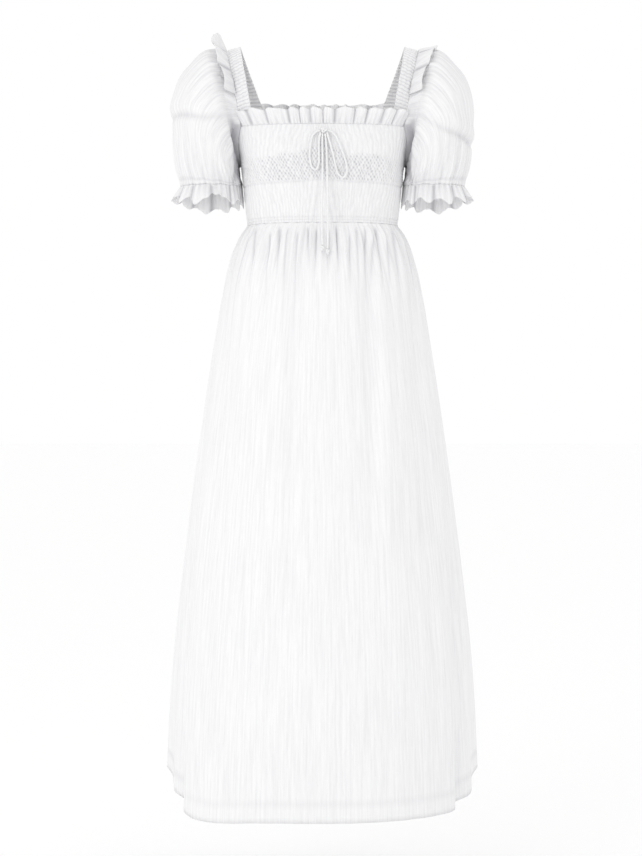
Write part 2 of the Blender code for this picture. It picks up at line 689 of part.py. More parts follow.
def smooth_route(points, count):
    """Reads a smooth curve through the route's own points, at equal steps along it."""
    points = np.array(points, float)
    chord = np.concatenate([[0], np.cumsum(np.linalg.norm(np.diff(points, axis=0), axis=1))])
    slopes = np.gradient(points, chord, axis=0)
    fine = np.linspace(0, chord[-1], 400)
    low = np.clip(np.searchsorted(chord, fine) - 1, 0, len(chord) - 2)
    span = (chord[low + 1] - chord[low])[:, None]
    t = (fine[:, None] - chord[low][:, None]) / span
    start = points[low] * (1 + 2 * t) * (1 - t) ** 2 + span * slopes[low] * t * (1 - t) ** 2
    finish = points[low + 1] * t * t * (3 - 2 * t) - span * slopes[low + 1] * t * t * (1 - t)
    curve = start + finish
    length = np.concatenate([[0], np.cumsum(np.linalg.norm(np.diff(curve, axis=0), axis=1))])
    wanted = np.linspace(0, length[-1], count)
    return np.stack([np.interp(wanted, length, curve[:, axis]) for axis in range(3)], axis=1)


# The tie. Knot, loops and tails hang in front of the bodice from just below the neck seam.
KNOT = (0.0020, -0.1205, -0.1580)
KNOT_SIZE = (0.0130, 0.0085, 0.0105)
LOOP_LEFT = [
    (-0.0050, -0.1205, -0.1585), (-0.0095, -0.1212, -0.1600), (-0.0160, -0.1226, -0.1660),
    (-0.0195, -0.1250, -0.1780), (-0.0215, -0.1280, -0.1950), (-0.0208, -0.1288, -0.2110),
    (-0.0172, -0.1284, -0.2225), (-0.0112, -0.1282, -0.2253), (-0.0068, -0.1288, -0.2170),
    (-0.0060, -0.1292, -0.2020), (-0.0062, -0.1268, -0.1850), (-0.0054, -0.1238, -0.1715),
    (-0.0034, -0.1210, -0.1622),
]
LOOP_RIGHT = [
    (0.0090, -0.1205, -0.1585), (0.0145, -0.1212, -0.1602), (0.0215, -0.1228, -0.1670),
    (0.0275, -0.1255, -0.1800), (0.0345, -0.1282, -0.1980), (0.0400, -0.1278, -0.2160),
    (0.0405, -0.1262, -0.2300), (0.0345, -0.1250, -0.2385), (0.0268, -0.1258, -0.2330),
    (0.0215, -0.1284, -0.2170), (0.0175, -0.1292, -0.1990), (0.0130, -0.1264, -0.1820),
    (0.0096, -0.1232, -0.1700), (0.0077, -0.1210, -0.1618),
]
TAIL_LEFT = [
    (0.0000, -0.1208, -0.1642), (-0.0004, -0.1240, -0.1760), (-0.0002, -0.1284, -0.1960),
    (0.0000, -0.1292, -0.2200), (-0.0004, -0.1290, -0.2500), (-0.0010, -0.1288, -0.2800),
    (-0.0012, -0.1286, -0.3100), (-0.0008, -0.1285, -0.3380), (-0.0004, -0.1286, -0.3520),
]
TAIL_RIGHT = [
    (0.0042, -0.1208, -0.1642), (0.0056, -0.1240, -0.1760), (0.0068, -0.1283, -0.1960),
    (0.0076, -0.1291, -0.2200), (0.0080, -0.1290, -0.2500), (0.0086, -0.1288, -0.2800),
    (0.0090, -0.1287, -0.3100), (0.0088, -0.1286, -0.3400), (0.0086, -0.1287, -0.3580),
]
END_SIZE = (0.0064, 0.0060, 0.0105)


def build_cord(name, route, count):
    """A rouleau cord: a round tube along a smooth curve, with closed ends."""
    curve = bpy.data.curves.new(name, "CURVE")
    curve.dimensions = "3D"
    curve.bevel_depth = TIE / 2
    curve.bevel_resolution = 2
    curve.use_fill_caps = True
    points = smooth_route(route, count)
    spline = curve.splines.new("POLY")
    spline.points.add(len(points) - 1)
    for point, place in zip(spline.points, points):
        point.co = (*place, 1.0)
    piece = bpy.data.objects.new(name, curve)
    give_material(piece, WHITE_TIE)
    dress.objects.link(piece)


def build_knot(name, centre, size):
    """A small rounded knot, longer one way."""
    shape = bmesh.new()
    bmesh.ops.create_uvsphere(shape, u_segments=10, v_segments=6, radius=0.5)
    bmesh.ops.scale(shape, vec=size, verts=shape.verts)
    bmesh.ops.translate(shape, vec=centre, verts=shape.verts)
    mesh = bpy.data.meshes.new(name)
    shape.to_mesh(mesh)
    shape.free()
    add_mesh(name, mesh, WHITE_TIE)


def build_tie():
    build_knot("tie_knot", KNOT, KNOT_SIZE)
    build_cord("tie_loop_left", LOOP_LEFT, 18)
    build_cord("tie_loop_right", LOOP_RIGHT, 19)
    build_cord("tie_tail_left", TAIL_LEFT, 13)
    build_cord("tie_tail_right", TAIL_RIGHT, 13)
    for name, route in (("tie_end_left", TAIL_LEFT), ("tie_end_right", TAIL_RIGHT)):
        x, y, z = route[-1]
        build_knot(name, (x, y, z - END_SIZE[2] / 2 - SEAM), END_SIZE)


for old in list(bpy.data.objects):
    bpy.data.objects.remove(old)
dress = bpy.data.collections.new("peasant_dress")
bpy.context.scene.collection.children.link(dress)

build_skirt("front")
build_skirt("back")
build_bodice("front", FRONT_ROWS)
build_bodice("back", BACK_ROWS)
build_straps()
build_neck_frill("front", 11.5, 46)
build_neck_frill("back", 10.5, 42)
build_shoulder_frills()
elastic_ring, ring_angles = build_sleeves()
build_cuff_frills(elastic_ring, ring_angles)
build_tie()
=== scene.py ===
"""Peasant dress in white crinkle gauze: the finished look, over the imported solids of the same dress.

Metres, +Z up. The front faces -Y and "right" is +X, as seen from in front.
Every cloth piece is a fine grid on the surface of its solid, with gathers, smocking and creases raised in it.
"""

import math
from collections import namedtuple

import bpy
import numpy as np
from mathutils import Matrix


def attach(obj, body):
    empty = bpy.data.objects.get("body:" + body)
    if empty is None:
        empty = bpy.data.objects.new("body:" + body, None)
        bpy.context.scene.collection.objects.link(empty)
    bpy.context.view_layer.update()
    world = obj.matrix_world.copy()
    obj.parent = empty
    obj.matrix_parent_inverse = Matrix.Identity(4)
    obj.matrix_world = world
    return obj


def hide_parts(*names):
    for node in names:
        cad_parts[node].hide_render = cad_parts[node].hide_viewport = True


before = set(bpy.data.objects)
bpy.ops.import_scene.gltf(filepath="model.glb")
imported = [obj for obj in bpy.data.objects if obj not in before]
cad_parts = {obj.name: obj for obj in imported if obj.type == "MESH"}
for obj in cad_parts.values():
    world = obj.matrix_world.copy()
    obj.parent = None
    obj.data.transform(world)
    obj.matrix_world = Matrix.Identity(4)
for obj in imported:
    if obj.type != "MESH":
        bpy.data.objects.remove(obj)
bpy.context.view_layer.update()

bl_info = {
    "name": "Peasant dress",
    "version": (1, 0, 0),
    "blender": (4, 5, 0),
    "location": "3D View > Sidebar > Dress",
    "description": "A white crinkle-gauze dress with smocked bodice, puff sleeves, frills and rouleau tie",
    "category": "Add Mesh",
}

# Places shared with the solids
SEAM = 0.0003             # gap between two pieces at a seam
WAIST = -0.311            # height of the raised waist seam
HEM = -1.3105             # height of the hem
HEM_TURN = 0.030          # depth of the turned hem
FRONT_NECK = -0.1455      # height of the front neck seam
BACK_NECK = -0.111        # height of the back neck seam
UNDERARM = -0.205         # height of the underarm point
STRAP_TUCK = 0.010        # length of strap sewn behind the bodice's edge
STRAP_ARCH = 2.2          # squareness of the arch over the shoulder
STRAP_SET_BACK = 0.0023   # from the bodice's face to the tucked strap
FRILL_END = 0.030         # radians by which a neck frill stops short of the strap's outer edge
FRILL_FAN = 1.06          # how far the neck frill's free edge fans out
FRILL_SEAT = 0.0037       # height of a shoulder frill's outer face above its seam
SHOULDER_SPAN = (0.115, 0.88)   # shares of the way over the shoulder between which those frills run
SHOULDER_WAVE = 0.0085    # how far a shoulder frill's waves swing out
SHOULDER_TIP = 0.005      # what the left shoulder frill's raised tip adds to its width
SHOULDER_SPREAD = 0.9     # how much a shoulder frill turns from the sleeve's way out to the side
CREASE_INNER = (0.166, -0.1315)   # X and height of the inner end of the sleeves' crease
CREASE_SLOPES = {"right": -0.45, "left": 0.05}   # rise of the crease, outwards
CUFF_SHORT = 0.0100       # how much shorter a cuff frill is on the outer side
CUFF_LONG = 0.0060        # how much longer a cuff frill is behind
CUFF_TUCK = {"right": 0.0, "left": 0.45}   # share of its height that a notch takes from its front
CUFF_NOTCH = 1.42         # where that notch lies, in radians round from the body
ELASTIC = 0.965           # the share along a sleeve where its elastic runs
STRIP_EDGE = 0.1545       # how far out the painted shade strip of a sleeve beside the bodice reaches
STRIP_TOP = -0.1380       # top and bottom of that strip
STRIP_BOTTOM = -0.2420
RING_POWER = 2.1          # squareness of a sleeve's rings
PANEL_RADIUS = 0.14       # usual distance of a bodice panel from the upright axis

# Sizes of details that only the fine cloth has
LUMP_WIDTH = 0.0062       # size of one lump of the smocked band, across and up
LUMP_HEIGHT = 0.0046
BAND_TOP = -0.194         # heights between which the smocked band runs
BAND_BOTTOM = -0.245
ELASTIC_PITCH = 0.0115    # distance between the rows of elastic above and below the band
WAIST_ROWS = (0.0040, 0.0090)   # heights of the two rows of stitches above the waist seam
STITCH_PITCH = 0.0034     # distance from stitch to stitch at the waist and the neck
CUFF_PITCH = 0.0036       # the same at the cuffs
HEM_PITCH = 0.0042        # the same along the hem
STITCH_THICK = 0.00028    # half the thickness of a stitch
FOLD_SHADE_WIDTH = 0.0017        # half the width of the painted shade line along the bottom of a fold
KNOT_TUBE = 0.0019        # radius of the tube in the bow's knot
END_TUBE = 0.0016         # radius of the tube in the knots at the tie's ends

# Columns and rows of each grid
SKIRT_GRID = (262, 150)
BODICE_GRIDS = {"front": (300, 112), "back": (250, 100)}
STRAP_GRID = (15, 360)
NECK_FRILL_COLUMNS = 420
SHOULDER_FRILL_COLUMNS = 240
FRILL_ROWS = 13
SLEEVE_GRID = (264, 98)
CUFF_ROWS = 15
ROUTE_POINTS = 70

# Flat cut of each piece, in metres, and its area where the cut isn't a rectangle
Cut = namedtuple("Cut", "width height area", defaults=(None,))

# The photograph's camera: it looks level along +Y from in front of the dress
PIXEL = 0.00175           # size of one pixel at the shoulders
CAMERA_DISTANCE = 3.5
IMAGE_WIDTH = 642
IMAGE_HEIGHT = 856
MIDDLE_COLUMN = 322.5     # the column of the dress's middle
HORIZON_ROW = 390         # the row that is level with the camera
CAMERA_HEIGHT = -0.597
SENSOR = 36.0             # millimetres
FLOOR = -1.50
FLOOR_REACH = 30.0

# Soft lights that look at one point of the dress
Light = namedtuple("Light", "name place power size")
LIGHTS = [
    Light("key", (-2.3, -3.6, 0.0), 20.0, 1.8),
    Light("fill", (3.0, -2.8, -0.2), 1.5, 2.2),
]
LIGHTS_AIM = (0.0, 0.0, -0.65)

# The body of the dress in level sections: half width, depth to the front and to the back, squareness
Section = namedtuple("Section", "height half_width front back power")
BODICE_SECTIONS = [
    Section(-0.090, 0.156, 0.100, 0.086, 2.9),
    Section(-0.1455, 0.155, 0.109, 0.095, 2.9),
    Section(-0.175, 0.1480, 0.119, 0.097, 2.8),
    Section(-0.205, 0.1410, 0.1240, 0.095, 2.6),
    Section(-0.240, 0.1375, 0.1180, 0.091, 2.5),
    Section(-0.275, 0.1340, 0.1065, 0.087, 2.4),
    Section(-0.311, 0.1300, 0.0980, 0.0830, 2.4),
]
SKIRT_SECTIONS = [
    Section(-0.311, 0.1300, 0.0980, 0.0830, 2.4),
    Section(-0.334, 0.1430, 0.1110, 0.0950, 2.4),
    Section(-0.369, 0.1570, 0.1230, 0.1080, 2.35),
    Section(-0.404, 0.1675, 0.1320, 0.1170, 2.3),
    Section(-0.439, 0.1750, 0.1390, 0.1240, 2.25),
    Section(-0.509, 0.1870, 0.1490, 0.1350, 2.2),
    Section(-0.649, 0.2085, 0.1650, 0.1520, 2.15),
    Section(-0.789, 0.2260, 0.1790, 0.1670, 2.1),
    Section(-0.929, 0.2400, 0.1900, 0.1800, 2.1),
    Section(-1.069, 0.2510, 0.2000, 0.1920, 2.1),
    Section(-1.209, 0.2575, 0.2070, 0.2000, 2.1),
    Section(-1.330, 0.2600, 0.2110, 0.2050, 2.1),
]

# Folds of the skirt. A turn is in degrees from the front centre, + to the right, 180 at the back.
# Each begins at one height, is deepest at another and ends at a third. A negative depth is a ridge.
Fold = namedtuple("Fold", "turn_top turn_low start deepest end half_width depth")
FOLDS = [
    Fold(-45, -34, -0.325, -0.360, -0.520, 0.011, 0.006),
    Fold(-21, -12, -0.325, -0.450, -1.200, 0.015, 0.008),
    Fold(-6, -5, -0.320, -0.345, -0.420, 0.007, 0.004),
    Fold(6, 5, -0.320, -0.345, -0.420, 0.007, 0.004),
    Fold(23, 18, -0.330, -0.370, -0.470, 0.009, 0.005),
    Fold(33, 21, -0.325, -0.450, -1.150, 0.015, 0.008),
    Fold(42, 30, -0.325, -0.360, -0.480, 0.009, 0.005),
    Fold(53, 41, -0.325, -0.360, -0.520, 0.011, 0.005),
    Fold(40, 31, -0.340, -0.600, -1.100, 0.020, -0.005),
    Fold(64, 52, -0.330, -0.560, -1.300, 0.030, 0.008),
    Fold(-64, -52, -0.330, -0.650, -1.300, 0.028, 0.007),
    Fold(-80, -76, -0.400, -1.280, -1.600, 0.024, 0.020),
    Fold(79, 70, -0.400, -1.280, -1.600, 0.024, 0.021),
    Fold(-103, -107, -0.450, -1.290, -1.600, 0.036, -0.030),
    Fold(103, 107, -0.450, -1.290, -1.600, 0.036, -0.030),
    Fold(126, 130, -0.330, -0.500, -1.310, 0.020, 0.009),
    Fold(148, 150, -0.325, -0.420, -0.900, 0.014, 0.007),
    Fold(166, 168, -0.325, -0.470, -1.250, 0.016, 0.009),
    Fold(185, 188, -0.325, -0.380, -0.620, 0.011, 0.006),
    Fold(203, 199, -0.325, -0.460, -1.180, 0.016, 0.009),
    Fold(219, 214, -0.325, -0.390, -0.700, 0.012, 0.006),
    Fold(235, 231, -0.330, -0.520, -1.310, 0.022, 0.009),
]

# Smaller creases that only the fine cloth has
CREASES = [
    Fold(-58, -47, -0.318, -0.345, -0.470, 0.006, 0.0030),
    Fold(-38, -31, -0.316, -0.340, -0.430, 0.005, 0.0028),
    Fold(-30, -24, -0.318, -0.350, -0.560, 0.006, 0.0030),
    Fold(-14, -9, -0.316, -0.335, -0.400, 0.004, 0.0026),
    Fold(-1, 0, -0.316, -0.335, -0.380, 0.004, 0.0024),
    Fold(13, 10, -0.316, -0.338, -0.440, 0.004, 0.0026),
    Fold(29, 23, -0.318, -0.345, -0.520, 0.005, 0.0030),
    Fold(38, 27, -0.316, -0.338, -0.450, 0.004, 0.0028),
    Fold(47, 37, -0.316, -0.345, -0.500, 0.005, 0.0030),
    Fold(60, 50, -0.318, -0.350, -0.540, 0.006, 0.0032),
    Fold(72, 66, -0.320, -0.360, -0.620, 0.007, 0.0030),
    Fold(-72, -66, -0.320, -0.360, -0.640, 0.007, 0.0030),
    Fold(-42, -36, -0.550, -0.800, -1.320, 0.012, 0.0022),
    Fold(-27, -25, -0.700, -1.000, -1.400, 0.010, 0.0020),
    Fold(-3, -2, -0.600, -1.050, -1.450, 0.011, 0.0022),
    Fold(9, 8, -0.800, -1.150, -1.450, 0.010, 0.0018),
    Fold(47, 45, -0.620, -0.900, -1.380, 0.012, 0.0024),
    Fold(116, 118, -0.320, -0.350, -0.520, 0.006, 0.0030),
    Fold(137, 140, -0.318, -0.345, -0.480, 0.005, 0.0030),
    Fold(157, 159, -0.316, -0.340, -0.450, 0.005, 0.0028),
    Fold(176, 178, -0.316, -0.338, -0.430, 0.004, 0.0026),
    Fold(194, 193, -0.318, -0.345, -0.500, 0.005, 0.0030),
    Fold(211, 208, -0.316, -0.340, -0.460, 0.005, 0.0028),
    Fold(227, 223, -0.318, -0.350, -0.540, 0.006, 0.0030),
    Fold(247, 243, -0.320, -0.360, -0.600, 0.007, 0.0030),
    Fold(142, 143, -0.650, -0.950, -1.400, 0.012, 0.0022),
    Fold(176, 175, -0.700, -1.050, -1.450, 0.012, 0.0022),
    Fold(222, 221, -0.600, -0.900, -1.350, 0.012, 0.0024),
]

# A strap's edges: points on the bodice at both ends, and the top of the arch, for the right strap
StrapEdge = namedtuple("StrapEdge", "front_turn back_turn top_x top_y top_z")
STRAP_INNER = StrapEdge(52.6, 128.5, 0.1425, -0.004, 0.0000)
STRAP_OUTER = StrapEdge(63.3, 114.5, 0.1680, -0.003, -0.0065)

# Rings of a puff sleeve. The share runs from the armhole to the elastic.
# The ring's nearest and furthest points are at Y = 0, and it reaches this far to the front and back.
Ring = namedtuple("Ring", "share near_x near_z far_x far_z front back")
SLEEVE_RINGS = [
    Ring(0.12, 0.1460, -0.2095, 0.1845, -0.0035, 0.0800, 0.0740),
    Ring(0.25, 0.1457, -0.2145, 0.2070, -0.0060, 0.0920, 0.0850),
    Ring(0.38, 0.1452, -0.2190, 0.2325, -0.0290, 0.0990, 0.0915),
    Ring(0.51, 0.1447, -0.2235, 0.2540, -0.0620, 0.1005, 0.0930),
    Ring(0.63, 0.1437, -0.2280, 0.2635, -0.1050, 0.0970, 0.0900),
    Ring(0.75, 0.1420, -0.2325, 0.2625, -0.1500, 0.0900, 0.0840),
    Ring(0.88, 0.1412, -0.2370, 0.2560, -0.2000, 0.0770, 0.0730),
    Ring(1.00, 0.1410, -0.2420, 0.2465, -0.2425, 0.0590, 0.0570),
]

# The tie's routes, from the knot outwards
KNOT = (0.0020, -0.1205, -0.1580)
KNOT_SIZE = (0.0130, 0.0085, 0.0105)
END_SIZE = (0.0064, 0.0060, 0.0105)
LOOP_LEFT = [
    (-0.0050, -0.1205, -0.1585), (-0.0095, -0.1212, -0.1600), (-0.0160, -0.1226, -0.1660),
    (-0.0195, -0.1250, -0.1780), (-0.0215, -0.1280, -0.1950), (-0.0208, -0.1288, -0.2110),
    (-0.0172, -0.1284, -0.2225), (-0.0112, -0.1282, -0.2253), (-0.0068, -0.1288, -0.2170),
    (-0.0060, -0.1292, -0.2020), (-0.0062, -0.1268, -0.1850), (-0.0054, -0.1238, -0.1715),
    (-0.0034, -0.1210, -0.1622),
]
LOOP_RIGHT = [
    (0.0090, -0.1205, -0.1585), (0.0145, -0.1212, -0.1602), (0.0215, -0.1228, -0.1670),
    (0.0275, -0.1255, -0.1800), (0.0345, -0.1282, -0.1980), (0.0400, -0.1278, -0.2160),
    (0.0405, -0.1262, -0.2300), (0.0345, -0.1250, -0.2385), (0.0268, -0.1258, -0.2330),
    (0.0215, -0.1284, -0.2170), (0.0175, -0.1292, -0.1990), (0.0130, -0.1264, -0.1820),
    (0.0096, -0.1232, -0.1700), (0.0077, -0.1210, -0.1618),
]
TAIL_LEFT = [
    (0.0000, -0.1208, -0.1642), (-0.0004, -0.1240, -0.1760), (-0.0002, -0.1284, -0.1960),
    (0.0000, -0.1292, -0.2200), (-0.0004, -0.1290, -0.2500), (-0.0010, -0.1288, -0.2800),
    (-0.0012, -0.1286, -0.3100), (-0.0008, -0.1285, -0.3380), (-0.0004, -0.1286, -0.3520),
]
TAIL_RIGHT = [
    (0.0042, -0.1208, -0.1642), (0.0056, -0.1240, -0.1760), (0.0068, -0.1283, -0.1960),
    (0.0076, -0.1291, -0.2200), (0.0080, -0.1290, -0.2500), (0.0086, -0.1288, -0.2800),
    (0.0090, -0.1287, -0.3100), (0.0088, -0.1286, -0.3400), (0.0086, -0.1287, -0.3580),
]


class DressSizes(bpy.types.PropertyGroup):
    """Sizes of the cloth and its trimmings."""

    cloth: bpy.props.FloatProperty(
        name="Cloth", description="Thickness of the gauze", default=0.0007, unit="LENGTH")
    smocking: bpy.props.FloatProperty(
        name="Smocking", description="How far the smocking stands out", default=0.0019, unit="LENGTH")
    gathers: bpy.props.FloatProperty(
        name="Gathers", description="Depth of the gathers under the waist", default=0.0016, unit="LENGTH")
    ribs: bpy.props.FloatProperty(
        name="Strap ribs", description="Height of the shirred ribs of a strap", default=0.0012, unit="LENGTH")
    rib_pitch: bpy.props.FloatProperty(
        name="Rib pitch", description="Distance between two ribs of a strap", default=0.0068, unit="LENGTH")
    frill: bpy.props.FloatProperty(
        name="Neck frill", description="Height of the neck frills", default=0.027, unit="LENGTH")
    cuff: bpy.props.FloatProperty(
        name="Cuff frill", description="Height of the cuff frills in front", default=0.031, unit="LENGTH")
    shoulder: bpy.props.FloatProperty(
        name="Shoulder frill", description="Width of the shoulder frills", default=0.032, unit="LENGTH")
    tie: bpy.props.FloatProperty(
        name="Tie", description="Diameter of the rouleau tie", default=0.0036, unit="LENGTH")
    stitch: bpy.props.FloatProperty(
        name="Stitch", description="Length of one stitch", default=0.0026, unit="LENGTH")


class DressColours(bpy.types.PropertyGroup):
    """Colours of the cloth, its painted shade and the studio."""

    gauze: bpy.props.FloatVectorProperty(
        name="Gauze", description="Colour of the gauze on its ridges", subtype="COLOR",
        default=(0.885, 0.883, 0.890), min=0, max=1)
    # Painted shade: the darker colour laid between the crinkle ridges and down in gathers, folds and seams,
    # in place of the shade that falls there.
    shade: bpy.props.FloatVectorProperty(
        name="Gauze shade", description="Colour of the gauze between its ridges", subtype="COLOR",
        default=(0.520, 0.517, 0.540), min=0, max=1)
    tie: bpy.props.FloatVectorProperty(
        name="Tie", description="Colour of the rouleau tie", subtype="COLOR",
        default=(0.880, 0.880, 0.886), min=0, max=1)
    floor: bpy.props.FloatVectorProperty(
        name="Floor", description="Colour of the studio floor", subtype="COLOR",
        default=(0.990, 0.990, 0.990), min=0, max=1)


def signed_power(value, exponent):
    """The size of the value raised to the exponent, with the value's own sign."""
    return np.sign(value) * np.abs(value) ** exponent


def ease(value):
    """A soft step from 0 to 1."""
    value = np.clip(value, 0.0, 1.0)
    return value * value * (3 - 2 * value)


def bell(value):
    """A soft bump of height 1 at 0, that is gone by about 2."""
    return np.exp(-(np.asarray(value) ** 2))


def wander(first, second, seed):
    """A smooth uneven value from -1 to 1: the mean of three sines of the two inputs at unrelated rates."""
    one = np.sin(first + 0.73 * second + seed)
    two = np.sin(2.31 * first - 1.37 * second + 2.1 * seed)
    three = np.sin(0.57 * first + 2.9 * second + 3.7 * seed)
    return (one + two + three) / 3


def unit(vectors):
    """The vectors, each brought to length 1."""
    return vectors / np.maximum(np.linalg.norm(vectors, axis=-1, keepdims=True), 1e-12)


def steps_along(line):
    """Distance of each point of a line from its first point, along the line."""
    return np.append(0, np.cumsum(np.linalg.norm(np.diff(line, axis=0), axis=1)))


def read_along(line, steps, wanted):
    """Points of a line, or other values held along it, at the wanted distances."""
    return np.stack([np.interp(wanted, steps, line[:, axis]) for axis in range(3)], axis=1)


def cubic(values, slopes, low, span, t):
    """A cubic from one knot to the next: t runs from 0 to 1, and the slopes at both knots are kept."""
    start = values[low] * (1 + 2 * t) * (1 - t) ** 2 + span * slopes[low] * t * (1 - t) ** 2
    finish = values[low + 1] * t * t * (3 - 2 * t) - span * slopes[low + 1] * t * t * (1 - t)
    return start + finish


def read_table(rows, key, name, at):
    """Reads one column smoothly: a cubic between two rows, with the slopes of their neighbours."""
    knots = np.array([getattr(row, key) for row in rows], float)
    values = np.array([getattr(row, name) for row in rows], float)
    if knots[0] > knots[-1]:
        knots = knots[::-1]
        values = values[::-1]
    slopes = np.gradient(values, knots)
    at = np.clip(at, knots[0], knots[-1])
    low = np.clip(np.searchsorted(knots, at) - 1, 0, len(knots) - 2)
    span = knots[low + 1] - knots[low]
    return cubic(values, slopes, low, span, (at - knots[low]) / span)


def section_radius(table, turn, height):
    """Distance from the upright axis to a squared ellipse, whose sizes the table gives for the height."""
    width, front, back, power = (read_table(table, "height", name, height) for name in Section._fields[1:])
    depth = np.where(np.cos(turn) > 0, front, back)
    reach = np.abs(np.sin(turn) / width) ** power + np.abs(np.cos(turn) / depth) ** power
    return reach ** (-1 / power)


def around(radius, turn, height):
    """Points at this distance from the axis. Turn 0 faces the front, and a quarter turn faces right."""
    height = np.broadcast_to(height, np.shape(turn))
    return np.stack([radius * np.sin(turn), -radius * np.cos(turn), height], axis=-1)


def bodice_point(turn, height):
    return around(section_radius(BODICE_SECTIONS, turn, height), turn, height)


def wrapped(turn):
    """The same turn between minus and plus half a circle."""
    return (turn + math.pi) % (2 * math.pi) - math.pi


def fold_across(fold, turn, height, radius):
    """Distance of a point from the fold's line, along the cloth."""
    along = np.clip((fold.start - height) / (fold.start - fold.end), 0, 1)
    middle = np.radians(fold.turn_top + (fold.turn_low - fold.turn_top) * along)
    return wrapped(turn - middle) * radius


def fold_depth(folds, turn, height, radius):
    """Sum of the folds: each is a bell across its line, and grows and fades with the height."""
    total = np.zeros(np.shape(turn))
    for fold in folds:
        grow = ease((fold.start - height) / (fold.start - fold.deepest))
        fade = 1 - ease((fold.deepest - height) / (fold.deepest - fold.end))
        across = fold_across(fold, turn, height, radius)
        total = total + fold.depth * grow * fade * bell(across / fold.half_width)
    return total


def fold_shade_lines(turn, height, radius):
    """Painted shade along the bottom of each fold or crease: a narrow bell across the line of each, for how
    deep in it a point lies.
    """
    deepest = np.zeros(np.shape(turn))
    for fold in FOLDS + CREASES:
        if fold.depth < 0:
            continue
        grow = ease((fold.start - height) / 0.012)
        fade = 1 - ease((height - fold.deepest) / (fold.end - fold.deepest))
        across = fold_across(fold, turn, height, radius)
        deepest = np.maximum(deepest, grow * fade * bell(across / FOLD_SHADE_WIDTH))
    return deepest


def gather_wave(turn, height, depth):
    """Gathers under the waist: a coarse wave as in the solid and a fine one that fades sooner.

    Both are cosines of the turn with a wandering phase, so no two gathers are alike.
    """
    drop = WAIST - height
    coarse = 36 * turn + 0.9 * np.sin(3 * turn + 0.7) + 0.5 * np.sin(7 * turn)
    strength = (0.0006 + 0.0024 * ease(drop / 0.022)) * (1 - ease((drop - 0.035) / 0.110))
    fine = 98 * turn + 2.4 * wander(9 * turn, 14 * drop, 1.3)
    fine_strength = depth * ease(drop / 0.008) * (1 - ease((drop - 0.012) / 0.150))
    uneven = 0.65 + 0.5 * wander(13 * turn, 20 * drop, 4.0)
    return strength * np.cos(coarse) + fine_strength * uneven * np.cos(fine)


def hang_wave(turn, height):
    """Long soft waves of the hanging cloth, a cosine of the turn that wanders and swells slowly."""
    drop = WAIST - height
    phase = 30 * turn + 1.6 * wander(4 * turn, 3 * drop, 2.2)
    swell = 0.5 + 0.5 * wander(5 * turn, 5 * drop, 0.6)
    return 0.0011 * ease(drop / 0.25) * swell * np.cos(phase)


def skirt_point(turn, height, gathers):
    """The skirt: its level section with gathers and waves, pushed in by the folds and creases."""
    height = np.broadcast_to(height, np.shape(turn))
    radius = section_radius(SKIRT_SECTIONS, turn, height)
    folds = fold_depth(FOLDS, turn, height, radius) + fold_depth(CREASES, turn, height, radius)
    radius = radius + gather_wave(turn, height, gathers) + hang_wave(turn, height) - folds
    return around(radius, turn, height)


def hem_height(turn):
    """The hem is level but for a small dip at the front left and a small rise at both sides."""
    dip = 0.012 * bell(wrapped(turn - math.radians(-58)) / 0.42)
    rise = 0.042 * bell((np.abs(wrapped(turn)) - math.radians(104)) / 0.40)
    return HEM - dip + rise


def grid_normals(grid, ring=False):
    """Unit normals of a grid of points, from the neighbours of each point."""
    across = np.roll(grid, -1, axis=1) - np.roll(grid, 1, axis=1)
    if not ring:
        across[:, 0] = grid[:, 1] - grid[:, 0]
        across[:, -1] = grid[:, -1] - grid[:, -2]
    down = np.gradient(grid, axis=0)
    return unit(np.cross(across, down))


def facing(normal, away):
    """The normals, turned round if they point against the given way."""
    return normal if (normal * away).sum() > 0 else -normal


def from_axis(grid):
    """The level way from the upright axis to each point."""
    return grid * np.array([1.0, 1.0, 0.0])


def panel_turns(half, columns):
    """Turns across a front or back panel, from side seam to side seam."""
    middle = 0.0 if half == "front" else math.pi
    return np.linspace(middle - math.pi / 2, middle + math.pi / 2, columns + 1)


def on_side(side, grid):
    """A grid that was made for the right side, mirrored for the left."""
    return grid if side == "right" else grid * np.array([-1.0, 1.0, 1.0])


class Socket:
    """A socket of a material's nodes. Python arithmetic on it adds the Math nodes."""

    def __init__(self, shader, socket):
        self.shader = shader
        self.socket = socket

    def combine(self, operation, first, second):
        return self.shader.node("ShaderNodeMath", {"operation": operation}, {0: first, 1: second})

    def __add__(self, other):
        return self.combine("ADD", self, other)

    __radd__ = __add__

    def __rsub__(self, other):
        return self.combine("SUBTRACT", other, self)

    def __mul__(self, other):
        return self.combine("MULTIPLY", self, other)


